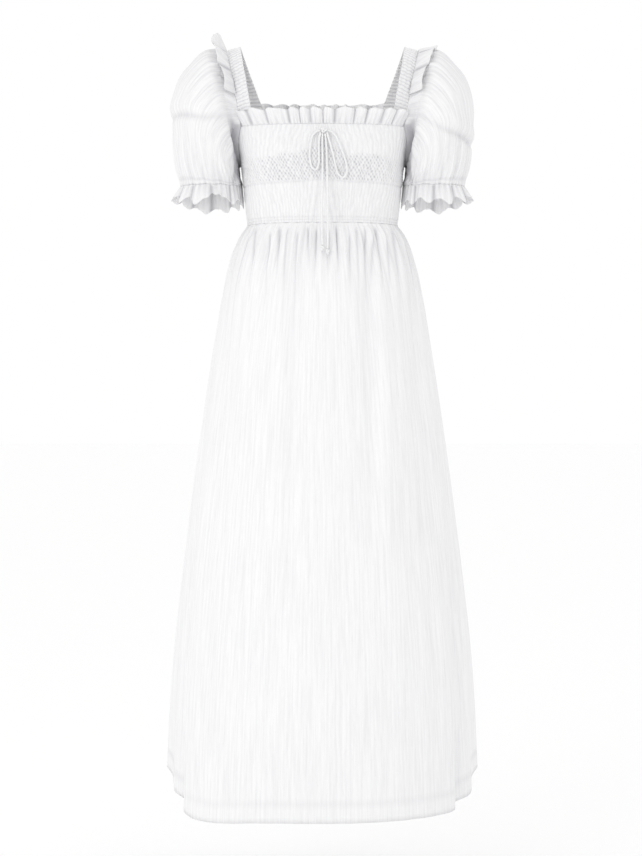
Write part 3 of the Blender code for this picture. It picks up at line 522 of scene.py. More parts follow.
class Shader:
    """A material's node tree, with its Principled node ready."""

    def __init__(self, name):
        self.material = bpy.data.materials.new(name)
        self.material.use_nodes = True
        self.tree = self.material.node_tree
        self.surface = self.tree.nodes["Principled BSDF"]

    def node(self, kind, settings, sockets, output=0):
        """Adds a node: its settings first, then the values or links of its sockets."""
        made = self.tree.nodes.new(kind)
        for name, value in settings.items():
            setattr(made, name, value)
        for name, value in sockets.items():
            if isinstance(value, Socket):
                self.tree.links.new(value.socket, made.inputs[name])
            else:
                made.inputs[name].default_value = value
        return Socket(self, made.outputs[output])

    def set(self, name, value):
        """Gives one of the Principled node's sockets a value or a link."""
        if isinstance(value, Socket):
            self.tree.links.new(value.socket, self.surface.inputs[name])
        else:
            self.surface.inputs[name].default_value = value

    def noise(self, place, scale, detail, roughness, distortion=0.0):
        """Noise of the place, stretched by a scale for each axis in features a metre."""
        spread = self.node("ShaderNodeMapping", {"vector_type": "POINT"}, {"Vector": place, "Scale": scale})
        return self.node("ShaderNodeTexNoise", {"noise_dimensions": "3D"}, {
            "Vector": spread, "Scale": 1.0, "Detail": detail, "Roughness": roughness,
            "Distortion": distortion})

    def blend(self, factor, low, high):
        """A colour between two, by the factor."""
        return self.node("ShaderNodeMix", {"data_type": "RGBA"}, {0: factor, 6: low, 7: high}, 2)

    def clamp(self, value, low, high):
        """The value brought from its range to 0 to 1, and held there."""
        return self.node("ShaderNodeMapRange", {"clamp": True}, {0: value, 1: low, 2: high, 3: 0.0, 4: 1.0})

    def bump(self, height, distance, strength):
        return self.node("ShaderNodeBump", {}, {
            "Height": height, "Distance": distance, "Strength": strength}, "Normal")


def gauze(name, ridge, relief, along, contrast):
    """Crinkle gauze on the cloth's own map, whose unit is a metre.

    Long uneven ridges run down the cloth, this many a metre across, over a finer crepe and a faint weave.
    The colour goes from the shade colour between the ridges to white on them, a painted shade of the
    crinkles, drifts a little over a hand's breadth, and is darker again where the hollow attribute is high:
    painted shade down in the gathers, folds and seams.
    """
    colours = bpy.context.scene.dress_colours
    shader = Shader(name)
    place = shader.node("ShaderNodeUVMap", {"uv_map": "cloth"}, {})
    ridges = shader.noise(place, (ridge, along, 1.0), 2.0, 0.55, 0.35)
    crepe = shader.noise(place, (ridge * 2.6, along * 5.0, 1.0), 2.0, 0.6)
    weave = shader.noise(place, (1100.0, 1100.0, 1.0), 1.0, 0.5)
    drift = shader.noise(place, (9.0, 5.0, 1.0), 2.0, 0.5)
    height = ridges * 0.66 + crepe * 0.26 + weave * 0.08
    hollow = shader.node("ShaderNodeAttribute", {"attribute_name": "hollow"}, {}, "Fac")
    # Painted shade: the colour darkens between the crinkle ridges by the contrast, and again by the hollow
    # attribute in gathers, folds and seams.
    light = shader.clamp(height * 0.90 + drift * 0.10, 0.38, 0.58)
    light = (1 - contrast + light * contrast) * (1 - hollow * 0.94)
    shader.set("Base Color", shader.blend(light, (*colours.shade, 1.0), (*colours.gauze, 1.0)))
    shader.set("Normal", shader.bump(height, relief, 0.75))
    shader.set("Roughness", 0.90 - light * 0.08)
    shader.set("Sheen Weight", 0.12)
    shader.set("Sheen Roughness", 0.5)
    shader.set("Specular IOR Level", 0.25)
    return shader.material


def rouleau(name):
    """A turned tube of the same gauze: a fine crinkle on Object coordinates, with painted shade between its
    crinkles.
    """
    colour = tuple(bpy.context.scene.dress_colours.tie)
    shader = Shader(name)
    place = shader.node("ShaderNodeTexCoord", {}, {}, "Object")
    crinkle = shader.noise(place, (900.0, 900.0, 260.0), 3.0, 0.6, 0.3)
    # Painted shade: 90 percent of the tie's colour, laid between the crinkles.
    shade = tuple(0.90 * part for part in colour)
    shader.set("Base Color", shader.blend(shader.clamp(crinkle, 0.35, 0.62), (*shade, 1.0), (*colour, 1.0)))
    shader.set("Normal", shader.bump(crinkle, 0.0006, 0.6))
    shader.set("Roughness", 0.78)
    shader.set("Specular IOR Level", 0.3)
    return shader.material


def grid_mesh(name, grid, away, ring=False, ring_rows=False, hollow=None):
    """A smooth mesh of a grid, with a map named cloth that measures metres across and down.

    Faces are turned to look the way that away points. The hollow attribute holds painted shade: 1 deep in the
    gathers and 0 on their tops.
    """
    numbers = np.arange(grid.shape[0] * grid.shape[1]).reshape(grid.shape[:2])
    full = grid
    if ring:
        numbers = np.hstack([numbers, numbers[:, :1]])
        full = np.concatenate([full, full[:, :1]], axis=1)
    if ring_rows:
        numbers = np.vstack([numbers, numbers[:1]])
        full = np.concatenate([full, full[:1]], axis=0)
    across = np.cumsum(np.linalg.norm(np.diff(full, axis=1), axis=2).mean(axis=0))
    down = np.cumsum(np.linalg.norm(np.diff(full, axis=0), axis=2).mean(axis=1))
    place = np.stack(np.meshgrid(np.append(0, across), -np.append(0, down)), axis=-1)
    order = [(slice(None, -1), slice(None, -1)), (slice(None, -1), slice(1, None)),
             (slice(1, None), slice(1, None)), (slice(1, None), slice(None, -1))]
    if (grid_normals(grid, ring) * away).sum() > 0:
        order = order[::-1]
    faces = np.stack([numbers[corner] for corner in order], axis=-1).reshape(-1, 4)
    mapped = np.stack([place[corner] for corner in order], axis=-2).reshape(-1)
    mesh = bpy.data.meshes.new(name)
    mesh.from_pydata(grid.reshape(-1, 3), [], faces)
    mesh.uv_layers.new(name="cloth").uv.foreach_set("vector", mapped.astype(np.float32))
    if hollow is not None:
        values = np.clip(np.broadcast_to(hollow, grid.shape[:2]), 0, 1).ravel()
        mesh.attributes.new("hollow", "FLOAT", "POINT").data.foreach_set("value", values.astype(np.float32))
    mesh.shade_smooth()
    mesh.update()
    return mesh


def add_piece(name, data, material, replaces=()):
    """Links a mesh or curve into the scene, on the body of the dress, in place of its solids."""
    piece = bpy.data.objects.new(name, data)
    data.materials.append(material)
    bpy.context.scene.collection.objects.link(piece)
    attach(piece, "root")
    if replaces:
        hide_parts(*replaces)
    return piece


def add_cloth(name, node, grid, away, material, hollow, ring=False):
    """A gathered cloth piece: the grid's mesh with the cloth's thickness inwards."""
    mesh = grid_mesh(name, grid, away, ring, hollow=hollow)
    piece = add_piece(name, mesh, material, [node])
    wall = piece.modifiers.new("cloth", "SOLIDIFY")
    wall.thickness = bpy.context.scene.dress_sizes.cloth
    wall.offset = -1.0


def stitch_row(name, line, away, pitch, material):
    """A row of stitches along a line of points: each is a short four-sided bar with thin ends.

    Bars start at equal steps along the line and lie on it, half sunk, along its own direction.
    """
    length = bpy.context.scene.dress_sizes.stitch
    steps = steps_along(line)
    count = max(2, int(steps[-1] / pitch))
    places = (np.arange(count) + 0.5) * steps[-1] / count
    along = unit(read_along(line, steps, places + length / 2) - read_along(line, steps, places - length / 2))
    up = unit(read_along(away, steps, places))
    side = np.cross(along, up)
    middle = read_along(line, steps, places)
    parts = []
    for share, width in ((-0.5, 0.35), (-0.2, 1.0), (0.2, 1.0), (0.5, 0.35)):
        for right, rise in ((1, 0), (0, 1), (-1, 0), (0, -1)):
            parts.append(middle + along * share * length + (side * right + up * rise) * STITCH_THICK * width)
    points = np.stack(parts, axis=1)
    bar = []
    for ring in range(3):
        for corner in range(4):
            after = (corner + 1) % 4
            bar.append((ring * 4 + corner, ring * 4 + after, ring * 4 + 4 + after, ring * 4 + 4 + corner))
    bar += [(3, 2, 1, 0), (12, 13, 14, 15)]
    faces = (np.array(bar)[None, :, :] + 16 * np.arange(count)[:, None, None]).reshape(-1, 4)
    mesh = bpy.data.meshes.new(name)
    mesh.from_pydata(points.reshape(-1, 3), [], faces[:, ::-1])
    mesh.update()
    add_piece(name, mesh, material)


def skirt_grid(half):
    """A skirt panel: turns across, and heights that crowd towards the gathers at the waist.

    The turned hem stands out a little, with a groove along its stitching. Painted shade lies in the gathers
    near the waist, in that groove and along the bottoms of the folds.
    """
    sizes = bpy.context.scene.dress_sizes
    columns, rows = SKIRT_GRID
    turns = panel_turns(half, columns)[None, :]
    share = np.linspace(0, 1, rows)[:, None]
    hem = hem_height(turns)
    top = WAIST - SEAM / 2
    heights = top + (hem - top) * (0.42 * share + 0.58 * share ** 2)
    turns = np.broadcast_to(turns, heights.shape)
    grid = skirt_point(turns, heights, sizes.gathers)
    normal = facing(grid_normals(grid), from_axis(grid))
    above = heights - hem
    turned = 0.0005 * (1 - ease((above - HEM_TURN) / 0.004)) - 0.0007 * bell((above - HEM_TURN) / 0.003)
    plain = section_radius(SKIRT_SECTIONS, turns, heights)
    # Painted shade: darker where the gathers sink in near the waist, in the hem's stitching groove, and along
    # the fold bottoms.
    sunk = (plain - np.linalg.norm(grid[:, :, :2], axis=2)) / 0.0075
    near_waist = 0.08 + 0.92 * bell((WAIST - heights) / 0.10)
    hollow = 0.14 * np.clip(sunk, 0, 1) ** 1.4 * near_waist + 0.25 * bell((above - HEM_TURN) / 0.002)
    hollow = hollow + 0.75 * fold_shade_lines(turns, heights, plain) * near_waist
    return grid + normal * turned[:, :, None], hollow


def build_skirt(half):
    sizes = bpy.context.scene.dress_sizes
    grid, hollow = skirt_grid(half)
    material = gauze(f"skirt gauze {half}", 300.0, 0.0009, 9.0, 0.20)
    add_cloth(f"skirt_cloth_{half}", f"skirt_{half}", grid, from_axis(grid), material,
              hollow)
    turns = panel_turns(half, SKIRT_GRID[0])
    heights = hem_height(turns) + HEM_TURN - 0.002
    line = skirt_point(turns, heights, sizes.gathers)
    away = unit(from_axis(line))
    stitch_row(f"hem_stitches_{half}", line + away * 0.0005, away, HEM_PITCH, material)


def strap_turn(half, edge):
    """The turn of a strap's edge where it meets the front or the back neck seam."""
    return math.radians(edge.front_turn if half == "front" else edge.back_turn)


def bodice_top(half, turn):
    """The panel's upper edge: the neck seam between the straps, and the armhole down to the underarm."""
    neck = FRONT_NECK if half == "front" else BACK_NECK
    reach = abs(strap_turn(half, STRAP_OUTER) - math.pi / 2)
    share = np.clip(np.abs(np.abs(turn) - math.pi / 2) / reach, 0, 1)
    return UNDERARM + (neck - UNDERARM) * share ** 1.9


def smocking(turn, height, half, depth):
    """How far the shirred bodice stands out, and the painted shade between its lumps, crinkles and seams.

    In the band over the bust, cos(across) times cos(up) makes staggered lumps like a honeycomb.
    Above and below it, upright crinkles run between level rows of elastic, and fan out below the knot.
    """
    across = turn * PANEL_RADIUS / LUMP_WIDTH
    across = across + 0.35 * wander(9 * turn, 60 * height, 0.4) + 0.25 * wander(31 * turn, 150 * height, 2.0)
    up = height / LUMP_HEIGHT + 0.25 * wander(22 * turn, 30 * height, 5.0)
    lumps = 0.5 + 0.5 * np.cos(2 * math.pi * across) * np.cos(math.pi * up)
    fan = 1.0 + (0.5 * bell(wrapped(turn) / 0.35) * (height + 0.20) / 0.05 if half == "front" else 0.0)
    upright = 0.5 + 0.5 * np.cos(2 * math.pi * across * 0.78 * fan)
    rows = 0.5 + 0.5 * np.cos(2 * math.pi * height / ELASTIC_PITCH + 0.5 * wander(8 * turn, 0, 3.0))
    border = BAND_BOTTOM + 0.004 * bell(wrapped(turn) / 0.30)
    front = 1.0 if half == "front" else 0.0
    upper = BAND_TOP + 0.018 * front * bell(wrapped(turn) / 0.26) + 0.004 * wander(11 * turn, 0, 0.9)
    band = ease((upper - height) / 0.012) * ease((height - border) / 0.005)
    calm = upright * (0.40 + 0.35 * rows)
    uneven = 0.75 + 0.35 * wander(17 * turn, 90 * height, 1.1)
    raised = depth * uneven * (band * lumps + (1 - band) * calm * 0.62)
    # Painted shade between the lumps of the band, between the upright crinkles, and in the grooves of the
    # seams.
    hollow = band * (1 - lumps) ** 2.4 * (1.2 + 0.8 * wander(40 * turn, 200 * height, 2.2))
    hollow = hollow * (1 - 0.5 * ease((np.abs(wrapped(turn)) - 0.60) / 0.35) * front)
    hollow = hollow + (1 - band) * (1 - upright) ** 2 * 0.20
    seam = 0.0010 * bell((height - border) / 0.0016)
    for rise in WAIST_ROWS:
        seam = seam + 0.0009 * bell((height - WAIST - rise) / 0.0012)
    return raised - seam, hollow + 160 * seam


def build_bodice(half):
    """A bodice panel up to the neck seam and the armholes, with its smocking raised outwards."""
    sizes = bpy.context.scene.dress_sizes
    columns, rows = BODICE_GRIDS[half]
    turns = panel_turns(half, columns)[None, :]
    top = bodice_top(half, wrapped(turns))
    base = WAIST - SEAM
    share = np.linspace(0, 1, rows)[:, None]
    heights = base + (top - base) * share
    turns = np.broadcast_to(turns, heights.shape)
    grid = bodice_point(turns, heights)
    normal = facing(grid_normals(grid), from_axis(grid))
    edge = ease(share / 0.03) * ease((1 - share) / 0.03)
    across = np.linspace(0, 1, columns + 1)[None, :]
    edge = edge * ease(across / 0.02) * ease((1 - across) / 0.02)
    raised, hollow = smocking(turns, heights, half, sizes.smocking)
    lapped = 0.0005 * bell(share / 0.015)
    grid = grid + normal * (raised * edge + lapped)[:, :, None]
    material = gauze(f"smocked gauze {half}", 320.0, 0.0006, 40.0, 0.22)
    add_cloth(f"bodice_cloth_{half}", f"bodice_{half}", grid, from_axis(grid), material,
              hollow)
    for number, rise in enumerate(WAIST_ROWS):
        row = panel_turns(half, columns)
        line = bodice_point(row, np.full(row.shape, WAIST + rise))
        away = unit(from_axis(line))
        stitch_row(f"waist_stitches_{half}_{number + 1}", line + away * 0.0003, away, STITCH_PITCH, material)


def seat_under_bodice(turn, height):
    """A point just inside the bodice's wall, where a strap is sewn behind its edge."""
    turn = np.asarray(turn, float)
    height = np.broadcast_to(height, turn.shape)
    along = bodice_point(turn + 0.004, height) - bodice_point(turn - 0.004, height)
    up = bodice_point(turn, height + 0.002) - bodice_point(turn, height - 0.002)
    return bodice_point(turn, height) - unit(np.cross(along, up)) * STRAP_SET_BACK


def strap_edge(edge, along):
    """A strap's edge over the shoulder: two quarter arches, each a squared ellipse, that meet at the top."""
    along = np.asarray(along, float)
    front = (along <= 0.5)[:, None]
    base = np.where(front, seat_under_bodice(strap_turn("front", edge), FRONT_NECK),
                    seat_under_bodice(strap_turn("back", edge), BACK_NECK))
    top = np.array([edge.top_x, edge.top_y, edge.top_z])
    angle = math.pi * np.where(along <= 0.5, along, 1 - along)
    rise = np.sin(angle) ** (2 / STRAP_ARCH)
    level = np.abs(np.cos(angle)) ** (2 / STRAP_ARCH)
    x = base[:, 0] + (top[0] - base[:, 0]) * rise
    y = top[1] + (base[:, 1] - top[1]) * level
    z = base[:, 2] + (top[2] - base[:, 2]) * rise
    return np.stack([x, y, z], axis=1)


def strap_line(edge, count):
    """One edge of the right strap, from its front tuck over the shoulder to its back tuck, at equal steps."""
    over = strap_edge(edge, np.linspace(0, 1, 400))
    tuck_front = seat_under_bodice(strap_turn("front", edge), FRONT_NECK - STRAP_TUCK)
    tuck_back = seat_under_bodice(strap_turn("back", edge), BACK_NECK - STRAP_TUCK)
    line = np.vstack([tuck_front[None], over, tuck_back[None]])
    steps = steps_along(line)
    wanted = np.linspace(0, steps[-1], count)
    return read_along(line, steps, wanted), wanted


def build_straps():
    """Shirred straps: uneven ribs across, like a row of cosines, between two gathered edges."""
    sizes = bpy.context.scene.dress_sizes
    columns, rows = STRAP_GRID
    inner, distance = strap_line(STRAP_INNER, rows)
    outer = strap_line(STRAP_OUTER, rows)[0]
    across = np.linspace(0, 1, columns)[None, :, None]
    grid = inner[:, None] * (1 - across) + outer[:, None] * across
    normal = grid_normals(grid)
    across = across[:, :, 0]
    distance = distance[:, None]
    phase = 2 * math.pi * distance / sizes.rib_pitch
    phase = phase + 0.9 * wander(60 * distance, 5 * across, 0.8)
    ribs = 0.5 + 0.5 * np.cos(phase)
    uneven = 0.8 + 0.3 * wander(140 * distance, 7 * across, 2.7)
    buckle = 0.0004 * np.cos(2 * math.pi * across * 3.0 + 2.0 * wander(90 * distance, 0, 1.9))
    crown = 0.0005 * np.sin(math.pi * across)
    inside = ease((distance - STRAP_TUCK) / 0.006) * ease((distance[-1] - STRAP_TUCK - distance) / 0.006)
    raised = (sizes.ribs * ribs * uneven + buckle) * inside + crown * inside
    material = gauze("strap gauze", 300.0, 0.0005, 70.0, 0.20)
    grid = grid + normal * raised[:, :, None]
    # Painted shade between the ribs: 0.50 - ribs, which is 0 on their tops.
    for side in ("right", "left"):
        add_cloth(f"strap_cloth_{side}", f"strap_{side}", on_side(side, grid), on_side(side, normal),
                  material, 0.50 - ribs)


def frill_grid(base, out, up, depth, lean, waves, swing, phase):
    """A frill: it rises by its depth from the base line, leans out, and waves more and more.

    The wave is a raised cosine of the share along the seam with an uneven step, so the frill never
    reaches behind its seam. Small pleats stand at the seam and die out, and the free edge is fluted.
    """
    share = np.linspace(0, 1, len(base))[None, :]
    height = np.linspace(0, 1, FRILL_ROWS)[:, None]
    uneven = share + 0.018 * np.sin(2 * math.pi * 2.3 * share + phase)
    uneven = uneven + 0.009 * np.sin(2 * math.pi * 5.3 * share + 2.1 * phase)
    turn = 2 * math.pi * waves * uneven + phase
    valley = 0.5 + 0.5 * np.cos(turn)
    wave = 1 - valley ** 2.2
    taper = ease(share / 0.05) * ease((1 - share) / 0.05)
    wave = wave * (0.35 + 0.65 * taper)
    pleats = 0.0009 * np.cos(turn * 3.4 + 1.5 * wander(30 * share, 0, phase)) * taper
    pleats = pleats * ease(height / 0.10) * (1 - 0.55 * height)
    curl = 0.0010 * np.cos(turn * 1.9 + 2.0) * height ** 2 * taper
    away = np.broadcast_to(lean, share.shape) * height + swing * wave * height ** 0.9 + pleats + curl
    petal = 0.05 * np.cos(turn + 1.2) + 0.07 * valley ** 5 + 0.03 * wander(40 * share, 0, phase)
    fluted = depth * height * (1 - petal * height)
    seam = 0.0006 * bell(height / 0.04)
    # Painted shade down in the valleys of the waves and between the pleats at the seam.
    hollow = 0.9 * valley ** 14 * ease(height / 0.15) + 0.40 * (0.5 - pleats / 0.0018) * (1 - height)
    grid = base[None] + out[None] * (away - seam)[:, :, None] + up[None] * fluted[:, :, None]
    return grid, hollow


def build_neck_frills():
    """Frills standing above the neck seams. Their ends fan out past the straps, in front of the sleeves."""
    sizes = bpy.context.scene.dress_sizes
    for half, waves in (("front", 11.5), ("back", 10.5)):
        neck = FRONT_NECK if half == "front" else BACK_NECK
        middle = 0.0 if half == "front" else math.pi
        corner = abs(strap_turn(half, STRAP_OUTER) - middle) - FRILL_END
        turns = middle + np.linspace(-corner, corner, NECK_FRILL_COLUMNS + 1)
        level = np.full(turns.shape, neck - SEAM)
        base = bodice_point(turns, level)
        out = around(np.ones(turns.shape), turns, 0.0)
        out = unit(out + np.array([0.0, -0.6 if half == "front" else 0.6, 0.0]))
        fan = bodice_point(middle + (turns - middle) * FRILL_FAN, level) - base
        up = np.array([0.0, 0.0, 1.0]) + fan / sizes.frill
        lean = 0.0020 + 0.0062 * np.linspace(-1, 1, NECK_FRILL_COLUMNS + 1) ** 4
        grid, hollow = frill_grid(base, out, up, sizes.frill, lean, waves, 0.0075, 0.6)
        material = gauze(f"neck frill gauze {half}", 320.0, 0.0005, 30.0, 0.22)
        add_cloth(f"neck_frill_cloth_{half}", f"neck_frill_{half}", grid, np.broadcast_to(out, grid.shape),
                  material, hollow)
        line = base + out * 0.0007
        line[:, 2] -= 0.0012
        stitch_row(f"neck_stitches_{half}", line, out, STITCH_PITCH, material)


def resample(line, count):
    """Points at equal steps along a closed line, the first point kept."""
    closed = np.vstack([line, line[:1]])
    steps = steps_along(closed)
    return read_along(closed, steps, np.linspace(0, steps[-1], count, endpoint=False))


def armhole_line():
    """The right armhole from the underarm up the front edge, along the strap and down the back."""
    front = np.linspace(math.pi / 2, strap_turn("front", STRAP_OUTER), 60)
    back = np.linspace(strap_turn("back", STRAP_OUTER), math.pi / 2, 60)[:-1]
    front_edge = bodice_point(front, bodice_top("front", front))
    back_edge = bodice_point(back, bodice_top("back", back))
    strap = strap_edge(STRAP_OUTER, np.linspace(0.04, 0.96, 160))
    return np.vstack([front_edge, strap, back_edge])


def sleeve_ring(share, angles):
    """Rings of the puff sleeve: each is a tilted squared ellipse from its near point round the front."""
    read = {name: read_table(SLEEVE_RINGS, "share", name, share) for name in Ring._fields[1:]}
    toward = signed_power(-np.cos(angles), 2 / RING_POWER)
    side = signed_power(-np.sin(angles), 2 / RING_POWER)
    reach = np.where(side < 0, read["front"], read["back"])
    x = (read["near_x"] + read["far_x"]) / 2 + toward * (read["far_x"] - read["near_x"]) / 2
    z = (read["near_z"] + read["far_z"]) / 2 + toward * (read["far_z"] - read["near_z"]) / 2
    return np.stack([x, side * reach, z], axis=-1)


def sleeve_grid(slope):
    """The right sleeve: rings from the armhole to the elastic, with gathers, crinkles and soft creases.

    The main crease is a bell across a straight line on the front, with this slope outwards, under a bulge.
    Beside the armhole's lower half the cloth is sunk, so that the puff overhangs it.
    """
    columns, rows = SLEEVE_GRID
    angles = np.linspace(0, 2 * math.pi, columns, endpoint=False)[None, :]
    share = np.linspace(0, 1, rows)[:, None]
    first = SLEEVE_RINGS[0].share
    armhole = resample(armhole_line(), columns)
    leave = sleeve_ring(np.array([[first]]), angles)[0] - armhole
    armhole = armhole + unit(from_axis(leave)) * 3 * SEAM
    blend = np.clip(share / first, 0, 1)[:, :, None]
    grid = armhole[None] * (1 - blend) + sleeve_ring(np.maximum(share, first), angles) * blend
    centre = grid.mean(axis=(0, 1))
    normal = facing(grid_normals(grid, True), grid - centre)
    upper = np.clip(-np.cos(angles) + 0.5, 0, 1)
    head = 0.0020 * np.sin(15 * angles + 0.8 * np.sin(2 * angles)) * upper
    head = head + 0.0011 * np.cos(41 * angles + 2.0 * wander(6 * angles, 9 * share, 0.5)) * upper
    head = head * ease(share / 0.05) * (1 - ease((share - 0.08) / 0.22))
    cuff = 0.0022 * np.cos(13 * angles + 0.7 * np.sin(3 * angles))
    cuff = cuff + 0.0011 * np.cos(39 * angles + 1.8 * wander(5 * angles, 8 * share, 2.5))
    cuff = cuff * ease((share - 0.66) / 0.26) * (1 - 0.45 * ease((share - 0.90) / 0.10))
    front = np.clip(np.sin(angles) * 0.8 - np.cos(angles) * 0.6, 0, 1)
    rear = np.clip(-np.sin(angles) * 0.8 - np.cos(angles) * 0.5, 0, 1)
    rise = grid[:, :, 2] - CREASE_INNER[1] - slope * (grid[:, :, 0] - CREASE_INNER[0])
    rise = rise + 0.0025 * np.sin(70 * grid[:, :, 0])
    crease = 0.0034 * bell((rise - 0.020) / 0.015) - 0.0048 * bell(rise / 0.0075)
    crease = crease * ease(share / 0.3)
    second = -0.0028 * bell((share - 0.33 - 0.04 * np.cos(2 * angles)) / 0.05)
    low = -0.0026 * bell((share - 0.72 - 0.05 * np.sin(angles)) / 0.05)
    soft = 0.0005 * np.cos(22 * angles + 2.4 * wander(4 * angles, 6 * share, 1.6)) * ease(share / 0.2)
    soft = soft * (1 - ease((share - 0.80) / 0.2))
    elastic = -0.0010 * bell((share - ELASTIC) / 0.010) * ease((1 - share) / 0.01)
    raised = head + cuff + crease * front + second * rear + low * np.clip(front + rear, 0, 1) * 0.6
    underarm = np.minimum(angles, 2 * math.pi - angles)
    sunk = bell((underarm - 0.85) / 0.45) * bell((share - 0.08) / 0.05)
    dent = -0.0150 * sunk
    raised = (raised + soft + elastic + dent) * ease(share / 0.03)
    raised = raised * (1 - 0.85 * bell(underarm / 0.40) * ease((share - 0.45) / 0.2))
    # Painted shade: darker in the creases and the dent near the armhole and the cuff, along the elastic, and
    # a painted dark strip beside the bodice where the sleeve's inside lies in shade.
    near = bell(share / 0.16) + ease((share - 0.75) / 0.2)
    hollow = 0.50 * np.clip(-raised / 0.0060, 0, 1) * np.clip(near + bell(rise / 0.010) * front, 0, 1)
    shade_strip = ease((STRIP_EDGE - grid[:, :, 0]) / 0.0020) * np.where(angles < math.pi, 1.0, 0.0)
    shade_strip = shade_strip * ease((grid[:, :, 2] - STRIP_BOTTOM) / 0.014) * ease((STRIP_TOP - grid[:, :, 2]) / 0.006)
    hollow = hollow + 0.28 * bell((share - ELASTIC) / 0.008)
    hollow = hollow + np.maximum(0.55 * ease((sunk - 0.22) / 0.30), 0.98 * shade_strip)
    grid = grid + normal * raised[:, :, None]
    return grid, grid - centre, hollow


def build_sleeves():
    material = gauze("sleeve gauze", 290.0, 0.0011, 12.0, 0.34)
    for side, slope in CREASE_SLOPES.items():
        grid, away, hollow = sleeve_grid(slope)
        add_cloth(f"sleeve_cloth_{side}", f"sleeve_{side}", on_side(side, grid), on_side(side, away),
                  material, hollow, ring=True)


def build_cuff_frills():
    """Frills below the elastic: they flare, wave with a raised cosine, and end in a fluted edge."""
    sizes = bpy.context.scene.dress_sizes
    elastic = sleeve_grid(CREASE_SLOPES["right"])[0][-1]
    angles = np.linspace(0, 2 * math.pi, SLEEVE_GRID[0], endpoint=False)
    away = unit(from_axis(elastic - elastic.mean(axis=0)))
    inside = np.clip(-away[:, 0], 0, 1)[None, :]
    height = np.linspace(0, 1, CUFF_ROWS)[:, None]
    turn = 12 * angles + 0.8 * np.sin(2 * angles)
    valley = 0.5 + 0.5 * np.cos(turn + 0.5)
    wave = 1 - valley ** 2.2
    reach = 0.0130 - 0.0110 * inside
    flare = reach * height + 0.0074 * (wave - 0.5) * (1 - 0.6 * inside) * height ** 0.9
    pleats = 0.0008 * np.cos(39 * angles + 1.8 * wander(5 * angles, 8, 2.5))[None, :]
    flare = flare + pleats * ease(height / 0.08) * (1 - 0.7 * height)
    fluted = 1 + (0.15 * np.cos(12 * angles + 2.0) - 0.08 * valley ** 4) * height
    fluted = fluted + 0.08 * wander(3 * angles, 0, 1.0) * height
    shorter = CUFF_SHORT * np.clip(away[None, :, 0], 0, 1) ** 2
    longer = CUFF_LONG * np.clip(away[None, :, 1], 0, 1) ** 2
    # Painted shade down in the valleys of the waves and between the pleats at the elastic.
    hollow = 0.9 * valley ** 12 * ease(height / 0.15) + 0.4 * (0.5 - pleats / 0.0016) * (1 - height)
    material = gauze("cuff frill gauze", 320.0, 0.0006, 30.0, 0.22)
    for side, tuck in CUFF_TUCK.items():
        tucked = tuck * np.clip(1.6 * bell((angles - CUFF_NOTCH) / 0.13), 0, 1) * height
        made = elastic[None] + away[None] * flare[:, :, None]
        made[:, :, 2] -= SEAM + height * (sizes.cuff * (fluted - tucked) - shorter + longer)
        made = on_side(side, made)
        way = on_side(side, away)
        add_cloth(f"cuff_frill_cloth_{side}", f"cuff_frill_{side}", made, np.broadcast_to(way, made.shape),
                  material, hollow, ring=True)
        line = np.vstack([made[0], made[0, :1]])
        way = np.vstack([way, way[:1]])
        line = line + way * 0.0004
        line[:, 2] += 0.0030
        stitch_row(f"cuff_stitches_{side}", line, way, CUFF_PITCH, material)


def build_shoulder_frills():
    """Frills above the seams of strap and sleeve. The left one stands up behind, the right one lies flat."""
    sizes = bpy.context.scene.dress_sizes
    share = np.linspace(0, 1, SHOULDER_FRILL_COLUMNS + 1)
    seam = strap_edge(STRAP_OUTER, np.linspace(*SHOULDER_SPAN, len(share)))
    line = armhole_line()
    steps = steps_along(np.vstack([line, line[:1]]))
    distance = np.linalg.norm(line[None] - seam[:, None], axis=2)
    angles = 2 * math.pi * steps[distance.argmin(axis=1)] / steps[-1]
    leave = unit(sleeve_ring(np.full(angles.shape, SLEEVE_RINGS[1].share), angles) - seam)
    leave = unit(leave + np.array([SHOULDER_SPREAD, 0.0, 0.0]))
    above = unit(np.cross(leave, np.gradient(seam, axis=0)))
    base = seam + above * FRILL_SEAT
    material = gauze("shoulder frill gauze", 320.0, 0.0005, 30.0, 0.22)
    for side in ("right", "left"):
        if side == "right":
            top = bell((share - 0.48) / 0.24)
            tilt = np.radians(24 - 19 * top)
            width = sizes.shoulder
            wave = SHOULDER_WAVE * (1 - 0.8 * top)
        else:
            tip = bell((share - 0.60) / 0.14)
            tilt = np.radians(28 + 24 * tip)
            width = sizes.shoulder + SHOULDER_TIP * tip
            wave = SHOULDER_WAVE
        up = leave * np.cos(tilt)[:, None] + above * np.sin(tilt)[:, None]
        out = above * np.cos(tilt)[:, None] - leave * np.sin(tilt)[:, None]
        grid, hollow = frill_grid(base, out, up, width, 0.001, 5.5, wave, 0.9)
        way = on_side(side, np.broadcast_to(out, grid.shape))
        add_cloth(f"shoulder_frill_cloth_{side}", f"shoulder_frill_{side}", on_side(side, grid), way,
                  material, hollow)


def smooth_route(points, count):
    """Reads a smooth cubic through the route's own points, at equal steps along it."""
    points = np.array(points, float)
    chord = steps_along(points)
    slopes = np.gradient(points, chord, axis=0)
    fine = np.linspace(0, chord[-1], 400)
    low = np.clip(np.searchsorted(chord, fine) - 1, 0, len(chord) - 2)
    span = (chord[low + 1] - chord[low])[:, None]
    t = (fine[:, None] - chord[low][:, None]) / span
    curve = cubic(points, slopes, low, span, t)
    steps = steps_along(curve)
    return read_along(curve, steps, np.linspace(0, steps[-1], count)), float(steps[-1])


